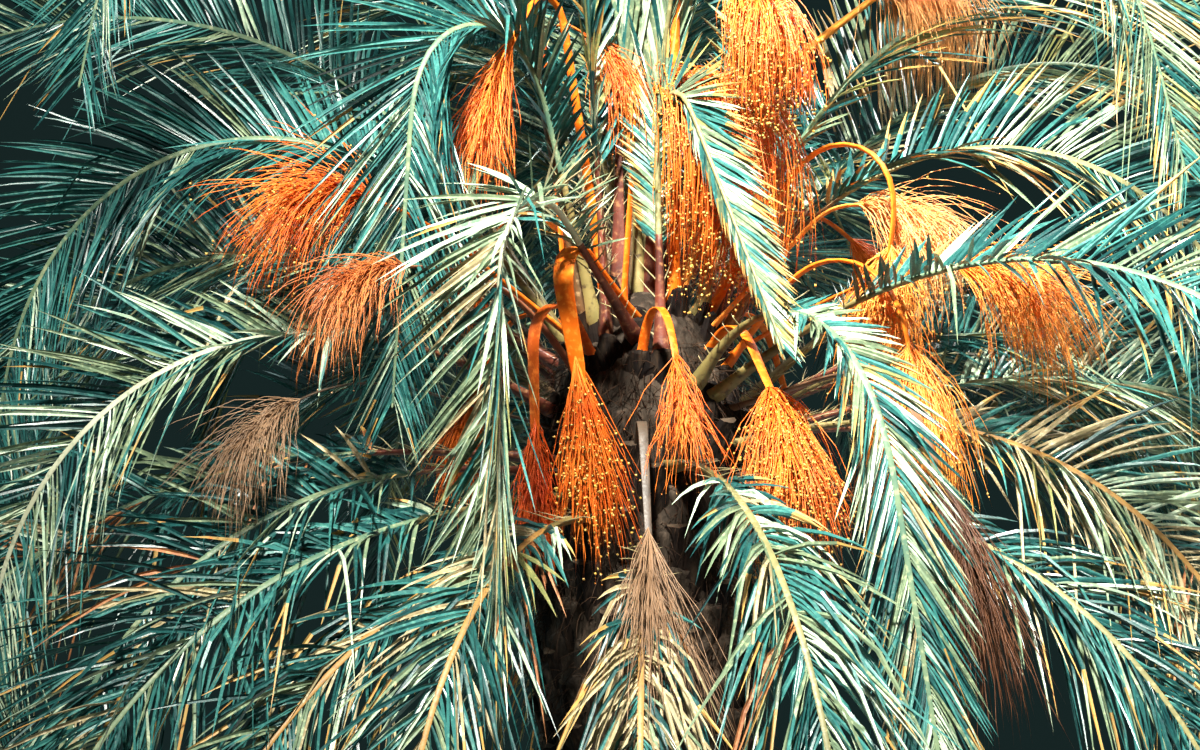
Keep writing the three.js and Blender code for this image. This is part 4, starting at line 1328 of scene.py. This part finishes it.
def finish_of(name, tones, mottle=9, grain=160, stretch=(1, 1, 1), rough=(0.4, 0.6),
              bump=0.3, depth=0.001, coat=0.0, shine=0.5):
    """Two or three tones by place, and grain in the roughness and the relief."""
    material = bpy.data.materials.new(name)
    material.use_nodes = True
    tree = material.node_tree
    shader = tree.nodes["Principled BSDF"]
    patches = place_group(tree, MOTTLE, mottle, (1, 1, 1), *PATCH_LIMITS)
    streaks = place_group(tree, GRAIN, grain, stretch, *GRAIN_LIMITS)
    base = blend(tree, patches.outputs["Mask"], tones[0], tones[1])
    if len(tones) > 2:
        specks = place_group(tree, MOTTLE, mottle * SPECKS_FINER, stretch, *SPECK_LIMITS)
        base = blend(tree, specks.outputs["Mask"], base, tones[2])
    tree.links.new(base, shader.inputs["Base Color"])
    level = tree.nodes.new("ShaderNodeMapRange")
    level.inputs["To Min"].default_value = rough[0]
    level.inputs["To Max"].default_value = rough[1]
    tree.links.new(streaks.outputs["Height"], level.inputs["Value"])
    tree.links.new(level.outputs["Result"], shader.inputs["Roughness"])
    relief = tree.nodes.new("ShaderNodeBump")
    relief.inputs["Strength"].default_value = bump
    relief.inputs["Distance"].default_value = depth
    tree.links.new(streaks.outputs["Height"], relief.inputs["Height"])
    tree.links.new(relief.outputs["Normal"], shader.inputs["Normal"])
    shader.inputs["Coat Weight"].default_value = coat
    shader.inputs["Specular IOR Level"].default_value = shine
    return material


# %% [markdown]
# ## Tones
#
# A living leaflet has a thin wax that shines, and a dry one is dull as paper. Stalks and
# strands of one bunch share a hue, and its buds are paler. Bark, stubs and fibre hardly shine
# at all. A finish has the name of the piece that wears it, so a loop can make a family of
# them from a short table of tones.

# %% Leaflets
WAXY = (0.24, 0.42)
PAPERY = (0.5, 0.75)
LEAFLET_TONES = {
    # Deep is painted shade.
    "deep": ((0.006, 0.045, 0.048), (0.012, 0.08, 0.077), (0.027, 0.13, 0.115)),
    "teal": ((0.02, 0.115, 0.112), (0.04, 0.185, 0.17), (0.085, 0.27, 0.22)),
    "sage": ((0.1, 0.16, 0.1), (0.19, 0.26, 0.155), (0.33, 0.4, 0.23)),
    # Mint is painted sunlight on the wax.
    "mint": ((0.25, 0.38, 0.28), (0.44, 0.56, 0.4), (0.7, 0.76, 0.54)),
    "gold": ((0.16, 0.19, 0.07), (0.28, 0.28, 0.1), (0.46, 0.38, 0.14)),
    "straw": ((0.25, 0.21, 0.11), (0.42, 0.35, 0.19), (0.62, 0.53, 0.34)),
    "rust": ((0.26, 0.09, 0.03), (0.4, 0.16, 0.05), (0.5, 0.24, 0.09)),
    "dry_tips": ((0.36, 0.24, 0.07), (0.5, 0.32, 0.09), (0.5, 0.2, 0.045)),
}
LEAFLET_ROUGH = {"straw": PAPERY, "rust": PAPERY, "dry_tips": (0.45, 0.7)}
FINISHES = {}


def finish_family(tones_of, **settings):
    """A finish for each piece in a table, such as rib green for the piece ribs_green."""
    for piece, tones in tones_of.items():
        kind, _, tone = piece.partition("_")
        FINISHES[piece] = finish_of(f"{kind[:-1]} {tone}".strip(), tones, **settings)


for tone, tones in LEAFLET_TONES.items():
    FINISHES[f"leaflets_{tone}"] = finish_of(
        "leaflet " + tone.replace("_", " "), tones, mottle=12, grain=220,
        rough=LEAFLET_ROUGH.get(tone, WAXY), bump=0.15)
print(len(FINISHES), "finishes for leaflets")

# %% Ribs, petioles and thorns
finish_family({
    "ribs_green": ((0.07, 0.15, 0.1), (0.15, 0.22, 0.12), (0.3, 0.34, 0.2)),
    "ribs_olive": ((0.14, 0.14, 0.06), (0.24, 0.22, 0.09), (0.36, 0.33, 0.17)),
    "ribs_amber": ((0.32, 0.17, 0.04), (0.42, 0.24, 0.07), (0.22, 0.12, 0.04)),
    "ribs_cream": ((0.36, 0.38, 0.26), (0.5, 0.52, 0.38), (0.22, 0.26, 0.17)),
    "petioles_olive": ((0.13, 0.11, 0.035), (0.24, 0.19, 0.065), (0.07, 0.045, 0.02)),
    "petioles_maroon": ((0.07, 0.016, 0.01), (0.15, 0.035, 0.018), (0.3, 0.14, 0.06)),
    "petioles_umber": ((0.07, 0.04, 0.018), (0.15, 0.085, 0.035), (0.32, 0.23, 0.12)),
    "thorns": ((0.2, 0.17, 0.07), (0.4, 0.34, 0.18)),
})

# %% Stalks, strands and buds
finish_family({
    "stalks_orange": ((0.72, 0.11, 0.004), (0.85, 0.17, 0.008), (0.9, 0.27, 0.03)),
    "stalks_yellow": ((0.78, 0.16, 0.008), (0.87, 0.23, 0.02), (0.66, 0.1, 0.006)),
    "stalks_peach": ((0.8, 0.26, 0.03), (0.9, 0.36, 0.06), (0.7, 0.18, 0.02)),
    "stalks_rust": ((0.2, 0.06, 0.03), (0.4, 0.15, 0.07)),
    "stalks_red": ((0.4, 0.06, 0.006), (0.62, 0.11, 0.01), (0.75, 0.2, 0.03)),
}, shine=0.25)
finish_family({
    "stalks_grey": ((0.035, 0.024, 0.016), (0.08, 0.055, 0.036)),
    "stalks_brown": ((0.16, 0.08, 0.045), (0.28, 0.16, 0.09)),
})
finish_family({
    "strands_orange": ((0.78, 0.12, 0.008), (0.9, 0.22, 0.02)),
    "strands_yellow": ((0.86, 0.24, 0.02), (0.93, 0.36, 0.06)),
    "strands_peach": ((0.9, 0.36, 0.1), (0.93, 0.52, 0.2)),
    "strands_rust": ((0.4, 0.09, 0.018), (0.66, 0.22, 0.055)),
    "strands_red": ((0.6, 0.06, 0.005), (0.78, 0.12, 0.008)),
    "strands_grey": ((0.18, 0.1, 0.05), (0.34, 0.21, 0.12)),
    "strands_brown": ((0.07, 0.022, 0.008), (0.17, 0.065, 0.025)),
}, mottle=6)
finish_family({
    "buds_orange": ((0.85, 0.3, 0.04), (0.9, 0.42, 0.1)),
    "buds_yellow": ((0.9, 0.5, 0.12), (0.88, 0.4, 0.08)),
    "buds_peach": ((0.93, 0.6, 0.25), (0.9, 0.45, 0.12)),
    "buds_rust": ((0.5, 0.25, 0.12), (0.62, 0.34, 0.18)),
    "buds_red": ((0.7, 0.16, 0.02), (0.8, 0.26, 0.04)),
}, mottle=30)

# %% Fruits
FINISHES["fruits"] = finish_of(
    "fruit", [(0.6, 0.34, 0.05), (0.42, 0.36, 0.1), (0.8, 0.22, 0.03)],
    mottle=40, rough=(0.25, 0.4), coat=0.3)
FINISHES["fruit_caps"] = finish_of("fruit cap", [(0.25, 0.09, 0.02), (0.1, 0.04, 0.015)], mottle=60)

# %% Bark, stubs and fibre
# Painted shade: the bark's tones are darkened nearly to black for the deep shade under the crown.
FINISHES["trunk_bark_in_painted_shade"] = finish_of(
    "trunk bark", [(0.016, 0.012, 0.009), (0.036, 0.027, 0.02), (0.08, 0.058, 0.042)],
    mottle=5, grain=40, stretch=(1, 1, 0.25), rough=(0.75, 0.95), bump=0.8, depth=0.01, shine=0.1)
# Painted shade: stubs and boots are near-black for the shade in the heart of the crown.
FINISHES["stubs_in_painted_shade"] = finish_of(
    "stub", [(0.004, 0.003, 0.003), (0.011, 0.007, 0.005), (0.03, 0.02, 0.013)],
    mottle=7, grain=60, stretch=(1, 1, 0.2), rough=(0.65, 0.9), bump=0.7, depth=0.006, shine=0.1)
# Painted shade: the cut tops are darkened to match the shaded heart, though fresh cuts are pale.
FINISHES["stub_cuts_in_painted_shade"] = finish_of(
    "stub cut", [(0.025, 0.017, 0.011), (0.06, 0.042, 0.028)],
    mottle=20, grain=120, rough=(0.7, 0.9), shine=0.1)
# Brown fibre, darkened nearly to black as painted shade round the head.
FINISHES["fibre"] = finish_of(
    "fibre", [(0.015, 0.008, 0.005), (0.05, 0.028, 0.016)], mottle=8, rough=(0.7, 0.9), shine=0.1)
print(len(FINISHES), "finishes")

# %% [markdown]
# ## Make the pieces
#
# Each joined piece becomes one object, rides with the plant's only body and stands for the
# solids that it dresses. Round things are shaded smooth. Leaflets keep flat faces, so that
# their folds stay crisp.

# %% Pieces from the gathered nets
CRISP = ("leaflets", "stub", "fruit_caps")
TRUNK_PARTS = ("trunk", "stub", "fibre")
FROND_PARTS = ("leaflets", "ribs", "petioles", "thorns")
FROND_NODES = sorted({node for frond in fronds for node in frond.nodes})
BUNCH_NODES = sorted({bunch.name for bunch in bunches if "dry" not in bunch.name})
DRY_NODES = sorted({bunch.name for bunch in bunches if "dry" in bunch.name})


def solids_of(name):
    """The kind of a piece, and the solids that it stands for."""
    if name.startswith(TRUNK_PARTS):
        return "bark", ["trunk"]
    if name.startswith(FROND_PARTS):
        return "leaf", FROND_NODES
    if name.endswith(DEAD_TONES):
        return "dry_bunch", DRY_NODES
    return "orange_bunch", BUNCH_NODES


triangles = 0
for name, parts in gathered.items():
    mesh = make_mesh(name, parts, not name.startswith(CRISP))
    mesh.materials.append(FINISHES[name])
    piece = bpy.data.objects.new(name, mesh)
    bpy.context.scene.collection.objects.link(piece)
    slot, nodes = solids_of(name)
    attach(piece, "root")
    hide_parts(*nodes)
    mesh.calc_loop_triangles()
    triangles += len(mesh.loop_triangles)
    print(f"{name}: {len(mesh.loop_triangles)} triangles")
print(triangles, "triangles in all")

# %% [markdown]
# ## Floor and light
#
# A pale floor and soft lights, as in a plain studio. The key light hangs high above the viewer,
# a little to the left, in place of the sun. Its beam is narrowed and aimed at the upper crown,
# so that the waxy leaflets shine there while the low fronds stay a little darker. A broad fill
# comes from the right, a large light from behind, and a weak cool one lifts the far left. The
# dim blue-green surroundings tint the shade between the fronds.

# %% Floor
FLOOR_RADIUS = 4.4
FLOOR_DROP = 0.001


def floor_disc(radius, sides=96):
    mesh = bpy.data.meshes.new("floor")
    angle = 2 * math.pi * np.arange(sides) / sides
    rim = np.stack([radius * np.cos(angle), radius * np.sin(angle), 0 * angle - FLOOR_DROP], 1)
    mesh.from_pydata(rim.tolist(), [], [tuple(range(sides))])
    floor = bpy.data.objects.new("floor", mesh)
    bpy.context.scene.collection.objects.link(floor)
    mesh.materials.append(finish_of(
        "floor", [(0.27, 0.27, 0.26), (0.3, 0.3, 0.29)],
        mottle=0.6, grain=30, rough=(0.7, 0.9), bump=0.05))


floor_disc(FLOOR_RADIUS)

# %% Lights and surroundings
WARM = (1, 0.97, 0.9)
SUNNY = (1, 0.96, 0.86)
COOL = (0.7, 1, 1)
SURROUNDINGS = (0.35, 0.75, 0.72, 1)
SURROUNDINGS_STRENGTH = 0.024


def soft_light(name, place, target, size, power, tint, spread=180):
    data = bpy.data.lights.new(name, "AREA")
    data.shape = "DISK"
    data.size = size
    data.energy = power
    data.color = tint
    data.spread = math.radians(spread)
    light = bpy.data.objects.new(name, data)
    bpy.context.scene.collection.objects.link(light)
    light.location = place
    aim = np.array(target, float) - np.array(place, float)
    yaw = math.atan2(aim[1], aim[0]) - math.pi / 2
    pitch = math.atan2(-aim[2], math.hypot(aim[0], aim[1]))
    light.rotation_euler = (math.pi / 2 - pitch, 0, yaw)


soft_light("key", (-0.9, -5.5, 8.7), (0.9, -0.4, 3.5), size=0.6, power=400, tint=SUNNY, spread=56)
soft_light("fill", (7, -6, 4), (0.6, 0, 2.8), size=4, power=230, tint=WARM)
soft_light("back", (5, 4.5, 8), (0.8, 0.3, 3), size=3, power=1100, tint=WARM)
soft_light("left", (-7, 2.5, 4.5), (-0.5, 0, 2.8), size=4, power=170, tint=COOL)
world = bpy.data.worlds.new("studio")
world.use_nodes = True
backdrop = world.node_tree.nodes["Background"]
backdrop.inputs["Color"].default_value = SURROUNDINGS
backdrop.inputs["Strength"].default_value = SURROUNDINGS_STRENGTH
bpy.context.scene.world = world
bpy.context.scene.view_settings.view_transform = "Standard"

# %% Sizes and the end
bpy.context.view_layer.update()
print("made in", round(time.time() - STARTED, 1), "seconds")
